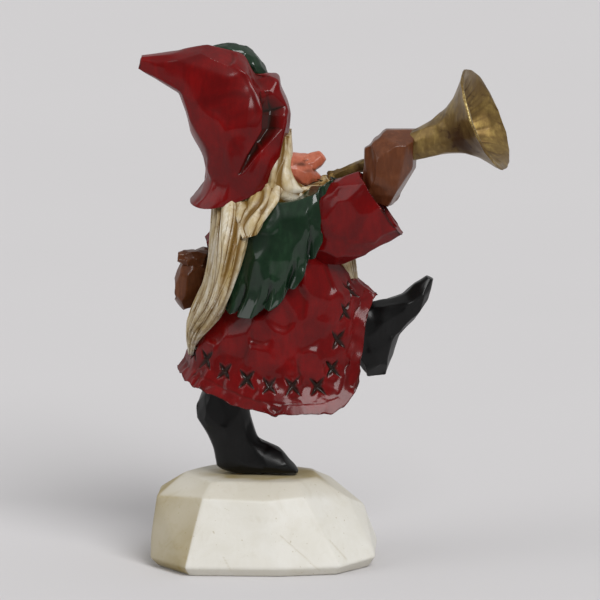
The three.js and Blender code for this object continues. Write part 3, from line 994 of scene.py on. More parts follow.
@dataclass
class Boots(Assembly):
    """The black boots: one stands, and the other is kicked forward.

    Attributes:
        facet: How wide the knife facets are.
    """

    facet: float = 6.0

    def build(self) -> None:
        """Carves the boots. Each is one loft that bends from the leg into the foot."""
        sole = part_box("standing_boot")[0].z / MM
        standing = loft([
            [-12.6, 52, -3.8, 52, 4.4, -2], [-13.4, 46, -3.7, 46, 4.7, -2],
            [-14.2, 41, -3.6, 40, 4.8, -2], [-16.4, 35.8, -3.1, 35.6, 4.7, -2],
            [-13.9, 31.4, -1.9, 31, 4.3, -2], [-11.9, 27.2, -0.9, 29.2, 4, -2],
            [-10.9, 22.6, 1.2, 28.2, 3.9, -2], [-7, sole, 3.4, 27.2, 4.1, -2],
            [-1, sole, 4.9, 26, 4.2, -2.2], [4, sole, 6.2, 24.2, 3.9, -2.5],
            [7, sole, 7.6, 22.8, 2.6, -2.7], [8.1, sole, 8.2, 21.9, 1.4, -2.8],
        ], 220, 190, square=0.82)
        standing.fit("standing_boot")
        standing.soften(3)
        standing.slice([
            [-90, 4, -8, -5.9, 40, 20], [-148, 6, -14.6, -4.6, 36, 12],
            [-142, -20, -14, -4.7, 31, 10],
            [90, 0, -8, 1.9, 40, 20], [150, 0, -14, 0.6, 34, 14],
        ])
        standing.whittle(self.facet, 11, scoop=0.05, strength=0.35, stretch=(1, 1, 1.6))
        standing.points[..., 2] = np.maximum(standing.points[..., 2], sole - 0.3)
        self.add(standing, "standing_boot_carved", "standing_boot", Slot.BLACK)
        raised = loft([
            [8, 60, 8, 48.6, 5, 5.6], [16, 60.4, 16, 47.8, 5.2, 5.8],
            [21.4, 60.6, 22, 46.4, 5.1, 6], [23.8, 60.7, 24.6, 43.4, 4.7, 6],
            [25.2, 60.7, 28.4, 43.5, 4.6, 6], [26.4, 60.8, 30.2, 47.4, 4.6, 6],
            [27.6, 61, 32, 52.6, 4.5, 6], [30.4, 61.6, 35.4, 56.3, 4.3, 6],
            [33, 62.7, 37.9, 59.5, 3.8, 6], [35.6, 65.0, 39.2, 62.8, 2.8, 6],
            [38.4, 66.9, 40.1, 66.1, 1.3, 6],
        ], 200, 170, square=0.82)
        raised.slice([
            [-90, 0, 20, 1.2, 54, 14], [-60, -40, 27, 2.4, 45.6, 9], [90, 0, 24, 10, 54, 20],
        ])
        wall = smooth_step(0, 0.06, raised.along) * smooth_step(1, 0.9, raised.along)
        raised.whittle(self.facet, 23, scoop=0.08, strength=0.8, edge=0.3, tilt=0.06,
                       where=wall * np.ones_like(raised.stain_and_shade))
        self.add(raised, "raised_boot_carved", "raised_boot", Slot.BLACK)


@dataclass
class Garment:
    """A garment that hangs round the body from a neck to a hem.

    Attributes:
        top: Height of the neck.
        hem: Rows of degrees from the front and hem height.
        shape: Rows of height, back x, front x and half depth.
        flare: How far the hem stands out.
        flare_length: How far above the hem the flare dies out.
    """

    top: float
    hem: Rows
    shape: Rows
    flare: float
    flare_length: float

    def rim(self, wrap: Array) -> Array:
        """Returns the hem's height at each angle, with the corners of its table eased."""
        degrees, height = np.array(self.hem, float).T
        rim = np.zeros_like(wrap)
        eases = np.linspace(-0.07, 0.07, 9)
        for ease in eases:
            away = np.degrees(np.abs(turn_between(wrap + ease, np.zeros_like(wrap))))
            rim += np.interp(away, degrees, height) / len(eases)
        return rim

    def plan(self, z: Array, wrap: Array, out: Array) -> tuple[Array, Array]:
        """Returns x and y on the oval plan at height z, moved out by out."""
        rows = np.array(self.shape, float)
        back, front, deep = (np.interp(z, rows[:, 0], rows[:, k]) for k in (1, 2, 3))
        x = (back + front) / 2 + np.cos(wrap) * ((front - back) / 2 + out)
        return x, np.sin(wrap) * (deep + out)


@dataclass
class Coat(Assembly):
    """The flared coat, with its chip-carved band of crosses.

    Attributes:
        columns: Grid columns.
        wall_rows: Grid rows of the outer wall.
        flute: Depth of the soft folds.
        raggedness: Height of the chips along the hem.
        arch: Height of the hollow under the coat.
        lip: Thickness of the hem.
        band: How far above the hem the crosses stand.
        pitch: From one cross to the next.
        arm: Length of a cross's arm.
        first: Where the first cross stands, in pitches.
        chip: Depth of a cross.
        cut: The coat's outline.
    """

    columns: int = 600
    wall_rows: int = 112
    flute: float = 0.5
    raggedness: float = 0.28
    arch: float = 54.0
    lip: float = 1.3
    band: float = 6.2
    pitch: float = 7.0
    arm: float = 3.0
    first: float = 0.5
    chip: float = 0.95
    cut: Garment = field(default_factory=lambda: Garment(
        88, [
            [0, 64], [14, 62], [25, 57], [32, 48.4], [38, 42.6], [49, 38.8], [62, 37.8],
            [90, 38], [117, 40], [141, 43.2], [180, 45.8],
        ], [
            [38, -17.4, 24.2, 15.8], [46, -17.4, 23.8, 15.4], [54, -16.6, 23.6, 14.9],
            [64, -11.8, 23.6, 14.2], [67, -10.4, 21.8, 14], [72, -8.6, 19, 13.4],
            [80, -6.8, 14.4, 11.8], [85, -5.4, 10.4, 8.8], [88, -4, 7, 6],
        ], 3.2, 3.6))

    def build(self) -> None:
        """Carves the coat.

        The wall goes from the neck to the hem, where it stands out by
        flare exp(-(height above hem) / flare_length). It turns over a lip, and the
        underside rises in a smooth arch to the middle.
        """
        wrap = np.arange(self.columns) / self.columns * TAU
        cap = np.linspace(0, 1, 6)[:-1]
        wall = 1 - (1 - np.linspace(0, 1, self.wall_rows)) ** 1.55
        under = np.linspace(0, 1, 26)[1:]
        rows = len(cap) + len(wall) + len(under)
        along = np.concatenate([cap * 0, wall, under * 0 + 1])[:, None]
        skin_out = np.concatenate([cap, wall * 0 + 1, 1 - under])[:, None]
        inward = np.concatenate([cap * 0, wall * 0, under])[:, None]
        angle = np.broadcast_to(wrap, (rows, self.columns))
        chips = np.sin(wrap * 23 + 2 * np.sin(wrap * 5)) + 0.6 * np.sin(wrap * 41 + 1)
        rim = (self.cut.rim(wrap) + self.raggedness * chips)[None, :]
        z = self.cut.top + (rim - self.cut.top) * along
        above = z - rim
        flute = self.flute * np.sin(angle * 7 + 0.6) * np.exp(-above / 12)
        out = self.cut.flare * np.exp(-above / self.cut.flare_length) + flute
        x, y = self.cut.plan(z, angle, out)
        middle = self.cut.plan(z, angle + math.pi, out)
        centre_x = (x + middle[0]) / 2
        hem_x = centre_x[len(cap) + len(wall) - 1][None, :]
        base_x = np.where(inward > 0, hem_x, centre_x)
        x = base_x + (x - base_x) * skin_out
        y = y * skin_out
        arch = rim + (self.arch - rim) * inward**1.4
        lip = self.lip * np.exp(-inward * 14) * (inward > 0)
        z = np.where(inward > 0, arch - lip * 0.25, z)
        skin = Skin(np.stack([x, y, z], 2), wrap, along[:, 0] * 0.8 + inward[:, 0] * 0.2)
        skin.fit("coat")
        wall_only = (inward == 0) * np.ones_like(z)
        skin.whittle(6.6, 5, scoop=0.12, strength=0.75, stretch=(1, 1, 1.1), edge=0.25,
                     tilt=0.13, where=wall_only)
        band = wall_only * smooth_step(11, 8, above) * smooth_step(math.pi * 0.8, 0.9, np.abs(
            turn_between(angle, np.full_like(angle, -0.5))))
        skin.whittle(3.6, 6, scoop=0.06, strength=0.6, edge=0.2, tilt=0.1, where=band)
        skin.soften(1)
        self.chip_crosses(skin, self.cut.rim(wrap)[None, :], z, wall_only)
        self.add(skin, "coat_carved", "coat", Slot.RED)

    def chip_crosses(self, skin: Skin, rim: Array, z: Array, wall_only: Array) -> None:
        """Cuts the band of crosses and the scored line below it.

        Each cross is two V cuts at 45 degrees, deepest where they meet. The crosses stand
        evenly along the line that is band away from the hem.

        Args:
            skin: The coat.
            rim: Height of the hem at each column.
            z: Height of each vertex.
            wall_only: 1 on the outer wall.
        """
        wall = wall_only[:, 0] > 0
        hem = skin.points[int(np.flatnonzero(wall)[-1])]
        flat = np.linalg.norm((np.roll(hem, -1, 0) - hem)[:, :2], axis=1)
        spread = np.cumsum(flat) - flat
        height = z[wall]
        places = np.stack([np.broadcast_to(spread, height.shape), height], 2)
        nearest = np.full(height.shape, np.inf)
        for point in np.column_stack([spread, rim[0]])[::2]:
            nearest = np.minimum(nearest, ((places - point) ** 2).sum(2))
        distance = np.sqrt(nearest)
        level = np.clip((distance > self.band).sum(0), 0, len(height) - 1)
        line = np.take_along_axis(height, level[None, :], 0)[0]
        run = np.concatenate([[0], np.cumsum(np.hypot(np.diff(spread), np.diff(line)))])
        count = round(run[-1] / self.pitch)
        at = (np.arange(count) + self.first) / count * run[-1]
        rng = np.random.default_rng(3)
        centres = np.column_stack([np.interp(at, run, spread), np.interp(at, run, line)])
        centres += rng.uniform(-0.3, 0.3, centres.shape)
        arms = self.arm * rng.uniform(0.88, 1.12, count)
        cut = np.zeros(height.shape)
        for centre, arm in zip(centres, arms):
            away, up = np.moveaxis(places - centre, 2, 0)
            for side in (-1, 1):
                lengthwise = (away + side * up) / math.sqrt(2)
                across = np.abs(away - side * up) / math.sqrt(2)
                taper = np.clip(1 - (lengthwise / arm) ** 2, 0, 1)
                valley = np.clip(1 - across / (0.9 * taper + 0.02), 0, 1)
                cut = np.maximum(cut, self.chip * taper * valley)
        score = 0.08 * np.clip(1 - np.abs(distance - 2.3) / 0.35, 0, 1)
        carved, dark = np.zeros(z.shape), np.zeros(z.shape)
        carved[wall] = cut + score
        dark[wall] = np.clip(cut / self.chip * 2.2, 0, 1)
        skin.push(-carved)
        skin.stain_and_shade = np.maximum(skin.stain_and_shade, dark)


@dataclass
class Cape(Assembly):
    """The green shoulder cape, with gouged notches along its edge.

    Attributes:
        columns: Grid columns.
        wall_rows: Grid rows of the outer wall.
        wall: Thickness of the cape.
        notch_count: Notches round the edge.
        notch_height: How far a notch rises into the edge.
        notch_depth: How deep its gouge is cut.
        notch_length: How far up the gouge runs.
        elbow: Angle, height, swell and spread over the right elbow.
        shoulder: The same over the right shoulder.
        shoulder_lift: How far the shoulder lifts the cape.
        cut: The cape's outline.
    """

    columns: int = 520
    wall_rows: int = 96
    wall: float = 1.5
    notch_count: int = 21
    notch_height: float = 1.3
    notch_depth: float = 1.9
    notch_length: float = 5.0
    elbow: tuple[float, float, float, float] = (2.5, 76, 4.4, 0.18)
    shoulder: tuple[float, float, float, float] = (-0.75, 87, 2.8, 0.3)
    shoulder_lift: float = 3.4
    cut: Garment = field(default_factory=lambda: Garment(
        89.5, [
            [0, 88], [20, 87.8], [34, 87], [41, 85], [50, 82], [58, 78.4], [66, 74.4],
            [76, 69], [90, 64.6], [106, 61.6], [124, 61.6], [150, 65], [180, 66.4],
        ], [
            [60, -14.4, 17, 17], [66, -12.6, 20, 17], [74, -10.8, 21.4, 16.4],
            [82, -9, 20, 14.6], [87, -7.6, 16.4, 11.4], [89.5, -6, 12, 8.6],
        ], 0.7, 2))

    @staticmethod
    def swell(angle: Array, z: Array, at: Sequence[float]) -> Array:
        """Returns how far the cape is carried out over a joint.

        Args:
            angle: Angle from the front.
            z: Height.
            at: The joint's angle, height, how far out, and spread.
        """
        turn = turn_between(angle, np.full_like(angle, at[0]))
        return at[2] * np.exp(-(turn**2) / at[3] - ((z - at[1]) ** 2) / 60)

    def build(self) -> None:
        """Carves the cape: an outer wall, a notched rim, and an inner wall."""
        wrap = np.arange(self.columns) / self.columns * TAU
        cap = np.linspace(0, 1, 7)[:-1]
        outer = 1 - (1 - np.linspace(0, 1, self.wall_rows)) ** 1.3
        inner = np.linspace(1, 0.3, 30)[1:]
        close = np.linspace(1, 0, 6)[1:]
        along = np.concatenate([cap * 0, outer, inner, close * 0 + 0.3])[:, None]
        out_share = np.concatenate([cap, outer * 0 + 1, inner * 0 + 1, close])[:, None]
        inside = np.concatenate([cap * 0, outer * 0, inner * 0 + 1, close * 0 + 1])[:, None]
        angle = np.broadcast_to(wrap, (len(along), self.columns)).copy()
        rim = self.cut.rim(wrap)[None, :]
        phase = self.notch_count * (angle + 0.06 * np.sin(angle * 5)) / TAU
        tooth = np.abs((phase % 1) - 0.5) * 2
        rim = rim + self.notch_height * np.clip(tooth * 2 - 1, 0, 1) ** 1.5
        from_front = np.abs(np.degrees(turn_between(angle, 0)))
        neck = self.cut.top - 2.6 - 1.2 * smooth_step(40, 80, from_front)
        neck = neck - 2.2 * (1 - out_share) * (1 - inside)
        z = neck + (rim - neck) * along
        above = z - rim
        out = self.cut.flare * np.exp(-above / self.cut.flare_length)
        out = out + self.swell(angle, z, self.elbow) + self.swell(angle, z, self.shoulder)
        gouge = smooth_step(0.4, 1, tooth) * np.exp(-((above / self.notch_length) ** 2))
        out = out - self.notch_depth * gouge * (1 - inside) - self.wall * inside
        x, y = self.cut.plan(z, angle, out)
        opposite = self.cut.plan(z, angle + math.pi, out)[0]
        centre_x = (x + opposite) / 2
        lift = self.shoulder_lift * bump_at(along, 0.16, 0.2) * (1 - inside)
        z = z + lift * np.exp(-(turn_between(angle, self.shoulder[0]) ** 2) / self.shoulder[3])
        x = centre_x + (x - centre_x) * out_share
        skin = Skin(np.stack([x, y * out_share, z], 2), wrap, along[:, 0])
        skin.fit("cape", "z")
        outside = (1 - inside) * np.ones_like(z)
        skin.whittle(7, 41, scoop=0.15, strength=0.6, edge=0.4, tilt=0.07, where=outside)
        skin.soften(1)
        skin.stain_and_shade = np.maximum(skin.stain_and_shade, 0.8 * gouge**2 * outside)
        self.add(skin, "cape_carved", "cape", Slot.GREEN)


@dataclass
class Head(Assembly):
    """The face, the hair round it, and the beard.

    Attributes:
        skull: The head's balls: middle x, y, z and radii, from the skull to the nose,
            the nostrils and the chin.
        sockets: The balls that are taken out for the eyes.
        melt: How softly the balls run together.
    """

    skull: tuple[tuple[float, ...], ...] = (
        (-2.2, 0, 92.6, 9.4, 8.6, 8.6), (6.4, 0, 94.0, 4.8, 5.8, 3.6),
        (9.0, -2.7, 92.6, 2.9, 2.7, 2.5), (9.0, 2.7, 92.6, 2.9, 2.7, 2.5),
        (9.8, 0, 95.2, 3.0, 2.6, 2.1), (12.8, 0, 96.0, 1.8, 1.9, 1.8),
        (11.6, -1.7, 94.8, 1.2, 1.0, 1.0), (11.6, 1.7, 94.8, 1.2, 1.0, 1.0),
        (11.6, 0, 91.8, 1.9, 2.6, 1.3),
    )
    sockets: tuple[tuple[float, ...], ...] = (
        (10.4, -3.4, 96.2, 1.3, 1.3, 0.8), (10.4, 3.4, 96.2, 1.3, 1.3, 0.8),
    )
    melt: float = 0.35

    def field_at(self, points: Array) -> Array:
        """Returns about how far outside the head each point is.

        Each ball gives (|p / r| - 1) min(r). The balls melt together in a soft minimum,
        and the sockets are taken out of it.
        """

        def ball(values: Sequence[float]) -> Array:
            """Returns the distance outside one stretched ball."""
            middle, radii = np.array(values[:3]), np.array(values[3:])
            return (np.linalg.norm((points - middle) / radii, axis=-1) - 1) * radii.min()

        total = sum(np.exp(-np.clip(ball(one) / self.melt, -40, 40)) for one in self.skull)
        solid = -self.melt * np.log(np.maximum(total, 1e-30))
        for socket in self.sockets:
            solid = np.maximum(solid, -ball(socket))
        return solid

    def face(self) -> Skin:
        """Carves the head: each ray ends where it last leaves the solid."""
        centre = np.array([3.0, 0, 94])

        def reach(rays: Array) -> Array:
            """Returns how far the rays go, by looking along each and then closing in."""
            distance = np.linspace(0.5, 18, 90)
            found = np.zeros(rays.shape[:2])
            for step in distance:
                inside = self.field_at(centre + rays * step) < 0
                found = np.where(inside, step, found)
            low, high = found, found + distance[1] - distance[0]
            for _ in range(8):
                half = (low + high) / 2
                inside = self.field_at(centre + rays * half[..., None]) < 0
                low, high = np.where(inside, half, low), np.where(inside, high, half)
            return (low + high) / 2

        skin = star(centre, reach, 260, 180)
        skin.soften(2)
        skin.whittle(2.6, 8, scoop=0.05, strength=0.55, edge=0.12, limit=0.4)
        x, y, z = np.moveaxis(skin.points, 2, 0)
        eyes = bump_at(np.abs(y), 4.2, 0.9) * bump_at(z, 95.6, 0.45) * (x > 7)
        lids = bump_at(x, 10.6, 1.2) * bump_at(z, 94.0, 0.5) * (np.abs(y) > 2)
        skin.stain_and_shade = np.maximum(skin.stain_and_shade, np.clip(eyes * 1.3 + lids * 0.7, 0, 1))
        return skin

    def build(self) -> None:
        """Carves the face, the beard, the moustache, the fringe, the mane and the locks."""
        self.add(self.face(), "face_carved", "head", Slot.SKIN)
        self.build_beard()
        self.build_hair()

    def build_beard(self) -> None:
        """Carves the long beard and the two halves of the moustache."""
        beard = loft([
            [1.6, 88.4, 14.2, 91.2, 8.6, 0], [4.6, 84.4, 17, 86.4, 9.2, 0],
            [9.4, 77.6, 20, 80, 7.4, 0], [13.4, 71, 21.6, 73.4, 4.6, 0],
            [17.2, 66.8, 22.2, 67.6, 2.8, 0], [20, 64.2, 22.0, 64.4, 1.3, 0],
        ], 280, 150, square=0.9)
        gouge_strands(beard, 14, 1.0, 61, sway=0.03, share=0.8)
        beard.whittle(3.5, 62, scoop=0.05, strength=0.3, stretch=(1, 1, 2.5))
        self.add(beard, "beard_carved", "beard", Slot.CREAM)
        for side, name in ((-1, "right"), (1, "left")):
            half = loft([
                [13.2, 89.4, 15.6, 91.8, 1.6, side * 0.2], [12.4, 87.6, 15.8, 90.8, 1.9, side * 2.6],
                [10.4, 86.4, 13.4, 90.4, 2.0, side * 5.2], [6.6, 85.2, 10, 90.6, 2.2, side * 7.6],
                [3.4, 86.4, 6, 91.2, 1.6, side * 8.8],
            ], 170, 100, square=0.9, runs_along_y=True)
            gouge_strands(half, 6, 0.4, 70 + side, sway=0.05, share=0.8)
            half.whittle(2.4, 74, scoop=0.03, strength=0.4)
            self.add(half, f"moustache_{name}", "moustache", Slot.CREAM)
            whisker = loft([
                [2.4, 102, 6.6, 102.6, 2.0, side * 3.6], [1.6, 97.6, 6.7, 98.6, 2.0, side * 5.2],
                [0.8, 93.4, 6.5, 95.4, 2.4, side * 6.6], [0.4, 88.6, 7.4, 93.0, 2.5, side * 7.4],
                [3.2, 85.4, 9.2, 91.2, 2.3, side * 7.2], [7.4, 84.6, 11.6, 90.0, 1.4, side * 6.2],
            ], 170, 110, square=0.9)
            gouge_strands(whisker, 6, 0.45, 76 + side, sway=0.05, share=0.8)
            whisker.whittle(2.6, 78, scoop=0.03, strength=0.4)
            self.add(whisker, f"whisker_{name}", "fringe", Slot.CREAM)

    def build_hair(self) -> None:
        """Carves the fringe, the long mane and the locks below the hat."""
        fringe = loft([
            [3.2, 94.2, 7, 95.6, 6.2, 0], [2.8, 98, 6.9, 98.6, 6, 0],
            [2.6, 101, 6.6, 101.4, 5, 0], [2.8, 103.2, 5.6, 103.8, 2.6, 0],
        ], 180, 80)
        gouge_strands(fringe, 9, 0.5, 81, sway=0.015)
        self.add(fringe, "fringe_carved", "fringe", Slot.CREAM)
        mane = loft([
            [-12.4, 90, -1, 90, 8.6, -0.6], [-12.4, 85, -0.6, 85, 12.0, -0.8],
            [-12.8, 78, -2.2, 78.8, 17.2, -0.8], [-13.3, 72, -4.4, 71.8, 17.2, -1.2],
            [-14.8, 65.4, -7.2, 64.4, 15.4, -1.6], [-17.5, 59.6, -10, 58.6, 11.6, -1.6],
            [-18.3, 54.8, -14.4, 53.8, 6.4, -1.8], [-17.8, 49.8, -16.4, 49.6, 2.2, -2],
        ], 510, 165, square=0.92)
        gouge_strands(mane, 22, 1.6, 91, sway=0.022, share=0.95)
        mane.whittle(4, 92, scoop=0.05, strength=0.3, stretch=(1, 1, 3))
        self.add(mane, "mane_carved", "mane", Slot.CREAM)
        for side, name in ((-1, "right"), (1, "left")):
            lock = loft([
                [-4.6, 89.6, 5.0, 93.4, 1.6, side * 7.0], [-6.4, 86.2, 4.6, 89.4, 2.8, side * 10.2],
                [-6.8, 82.6, 1.8, 85.6, 2.6, side * 12.6], [-5.8, 79.8, -1.4, 80.8, 1.6, side * 14.4],
            ], 200, 90, square=0.9)
            gouge_strands(lock, 7, 1.3, 101 + side, sway=0.05, share=0.9)
            self.add(lock, f"temple_lock_{name}", f"{name}_temple_lock", Slot.CREAM)


@dataclass
class Hat(Assembly):
    """The pointed hat that bends backwards, and the green leaf tucked behind it.

    Attributes:
        brim_droop: How far the brim hangs lower at the sides.
        brim_share: Share of the hat's length over which it does.
        fold_depth: Depth of the long fold.
        notch_depth: Depth of the notch under the leaf.
        hump_height: Height of the hump in front of the notch.
        ridge_x: Where the side ridges stand.
        ridge_height: How high they stand.
    """

    brim_droop: float = 2.2
    brim_share: float = 0.09
    fold_depth: float = 2.9
    notch_depth: float = 2.8
    hump_height: float = 1.1
    ridge_x: float = -4.2
    ridge_height: float = 1.0

    def build(self) -> None:
        """Carves the hat, its fold and the leaf."""
        hat = loft([
            [-17.2, 85.2, 3, 92, 10.8, 0], [-14.6, 88, 4.2, 95.2, 10.8, 0],
            [-13.4, 92, 5.4, 100, 10.6, 0], [-14.8, 98, 6.3, 105.6, 10.3, 0],
            [-17.3, 103.4, 5.4, 111.4, 9.5, 0], [-18.8, 108.4, 1.6, 117, 8.3, 0],
            [-20.2, 112, -6, 121.6, 6.8, 0], [-23.8, 114.3, -13, 123.2, 5, 0],
            [-27.0, 116.2, -20.6, 122.0, 3.2, 0], [-29.3, 117.7, -28.5, 121.0, 1.7, 0],
        ], 380, 200, square=0.7, start=End(0.16, 0.05, 16))
        hat.fit("hat")
        skirt = smooth_step(0.0, 0.05, hat.along) * np.ones_like(hat.stain_and_shade)
        sides = np.sin(hat.wrap) ** 2
        near_brim = np.exp(-(np.maximum(hat.along, 0) / self.brim_share) ** 2)
        hat.points[..., 2] -= self.brim_droop * sides * near_brim
        hat.whittle(12, 29, scoop=0.1, strength=0.6, edge=0.4, tilt=0.03, where=skirt)
        self.notch(hat)
        self.crease(hat)
        self.fold(hat)
        hat.slice([[-152, -8, -15.4, -8.2, 97, 9], [-60, 62, -12, -3.2, 121.6, 6]])
        self.add(hat, "hat_carved", "hat", Slot.RED)
        leaf = loft([
            [-13.4, 120.6, -13, 122.4, 0.8, 2.4], [-9.4, 119.0, -7.8, 123.3, 2.6, 3],
            [-4.8, 116.6, -3.0, 121.7, 3.2, 3.6], [-1.6, 113.0, 0.6, 117.2, 2.8, 4],
            [0.8, 110.6, 2.2, 112.8, 0.8, 4.4],
        ], 160, 100)
        girth = leaf.girth()
        vein = np.clip(1 - girth * 60, 0, 1) + np.clip(1 - np.abs(girth - 1) * 60, 0, 1)
        ribs = 0.18 * np.sin(leaf.along * 40 + np.cos(leaf.wrap) * 3) * (leaf.along > 0.08)
        leaf.push(-0.4 * vein + ribs * 0.3)
        leaf.whittle(3.2, 19, scoop=0.05, strength=0.6, edge=0.12)
        self.add(leaf, "leaf_carved", "hat_leaf", Slot.GREEN)

    def notch(self, hat: Skin) -> None:
        """Cuts the notch in which the leaf lies, and raises the hump in front of it.

        Args:
            hat: The hat's skin.
        """
        x, y, z = np.moveaxis(hat.points, 2, 0)
        notch = bump_at(x, -0.8, 2.4) * smooth_step(111, 116, z)
        hump = bump_at(x, 2.9, 1.4) * bump_at(z, 115.4, 1.8)
        rise = self.hump_height * hump - self.notch_depth * notch
        hat.push(rise * smooth_step(9, 5, np.abs(y)))
        hat.soften(1)

    def crease(self, hat: Skin) -> None:
        """Raises the long ridge on each side, like a tent with straight slopes.

        Args:
            hat: The hat's skin.
        """
        x, y, z = np.moveaxis(hat.points, 2, 0)
        tent = np.clip(1 - np.abs(x - self.ridge_x - 0.12 * (z - 104)) / 4.5, 0, 1)
        ends = smooth_step(92, 99, z) * smooth_step(115, 109, z)
        hat.push(self.ridge_height * tent * ends * smooth_step(3.0, 5.5, np.abs(y)))

    def fold(self, hat: Skin) -> None:
        """Cuts the long fold on both sides of the hat.

        The fold follows a curve in side view. Behind it the hat stays high, at it the
        skin drops, and in front of it the skin comes back over a few millimetres. Its hollow
        is darkened with painted shade.

        Args:
            hat: The hat's skin.
        """
        low, high = (np.array(corner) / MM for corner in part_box("hat"))
        x, y, z = np.moveaxis(hat.points, 2, 0)
        reach = high - low
        height = np.array([0.22, 0.34, 0.5, 0.64, 0.74]) * reach[2] + low[2]
        line = np.array([0.66, 0.725, 0.825, 0.83, 0.80]) * reach[0] + low[0]
        deep = np.array([0.15, 0.7, 1.0, 0.9, 0.1]) * self.fold_depth
        wide = np.array([0.6, 1.3, 2.8, 3.2, 1.8])
        drop = np.interp(z, height, deep, left=0, right=0)
        width = np.interp(z, height, wide)
        ahead = x - np.interp(z, height, line)
        profile = smooth_step(-0.4, 0.5, ahead) * smooth_step(1.7, 0.8, ahead / width)
        side = smooth_step(3.0, 5.5, np.abs(y))
        hat.push(-drop * profile * side)
        # Painted shade: the hollow of the fold is darkened, as shade falls in it.
        dark = np.clip(1.3 * profile * drop / self.fold_depth, 0, 1) * side
        hat.stain_and_shade = np.maximum(hat.stain_and_shade, 0.75 * dark)


@dataclass
class Arms(Assembly):
    """The sleeves and the mittens."""

    def build(self) -> None:
        """Carves the sleeves, whose cuffs are sunk round the wrists, and the mittens."""
        cuff = End(0.2, 0.07, 18)
        right = loft([
            [9.4, 88, 10.6, 74, 4.4, -7.6], [15, 91.6, 18.2, 72.6, 5.2, -8.8],
            [19.6, 93.8, 25.4, 76.4, 6.2, -9.6], [22.4, 94.8, 32.8, 79.8, 6.6, -9.6],
        ], 270, 115, square=0.86, end=cuff)
        right.whittle(7, 31, scoop=0.12, strength=0.75, edge=0.3, tilt=0.06)
        self.add(right, "right_sleeve_carved", "right_sleeve", Slot.RED)
        left = loft([
            [-7, 84.6, 4.4, 77, 5, 12], [-10.6, 78, 0.6, 67, 5.6, 15.4],
            [-13.8, 74.4, -9, 59.6, 5.6, 14],
        ], 240, 100, square=0.86, end=cuff)
        left.whittle(7, 33, scoop=0.1, strength=0.7, edge=0.3)
        self.add(left, "left_sleeve_carved", "left_sleeve", Slot.RED)
        hand = hewn((30, -6, 95), [
            [-80, 4, 31, -12.0, 95], [-142, 12, 24.7, -10.2, 96], [180, 6, 22.8, -6, 94],
            [-8, -2, 37, -6, 99], [-78, 62, 31, -9.4, 102.4], [90, 82, 31, -3, 104.2],
            [172, 48, 25.6, -6, 101.4], [-14, -30, 36.7, -6, 93.6], [-25, -52, 35.6, -7, 87.2],
            [200, -70, 27, -8, 84.4], [90, 0, 30, -0.2, 95], [140, 0, 25, -2.2, 95],
            [-40, -6, 35.4, -9.4, 96], [-92, -20, 29, -12.4, 89], [-110, 40, 26.6, -9.4, 101.4],
            [-165, -10, 22.4, -9, 90],
        ], 0.12, 240, 160)
        hand.fit("right_mitten")
        hand.whittle(5, 35, scoop=0.08, strength=0.3)
        knuckles = 0.14 * np.sin(hand.points[..., 2] * 0.4 + hand.points[..., 0] * 2.6)
        hand.push(knuckles * smooth_step(-0.5, -0.75, hand.normals()[..., 0]))
        self.add(hand, "right_mitten_carved", "right_mitten", Slot.MITTEN)
        other = loft([
            [-9, 70.6, -9, 61.8, 3.4, 13.4], [-14.2, 72.6, -14, 59.4, 4.6, 10.8],
            [-18.8, 70.6, -18.8, 58.6, 4.2, 8.4], [-21, 65.8, -20.8, 61, 2.2, 7.4],
        ], 200, 120, square=0.72)
        other.whittle(7, 37, scoop=0.1, strength=0.6, edge=0.3)
        self.add(other, "left_mitten_carved", "left_mitten", Slot.MITTEN)
        thumb = loft([
            [-15, 68.2, -13.2, 72.6, 2, 7.6], [-18.2, 69.2, -17.4, 73, 1.9, 6.5],
            [-20.4, 70.4, -20.2, 72.6, 1.3, 6],
        ], 120, 70, square=0.8)
        thumb.whittle(3, 39, scoop=0.05, strength=0.9, edge=0.12)
        self.add(thumb, "left_thumb_carved", "left_mitten", Slot.MITTEN)


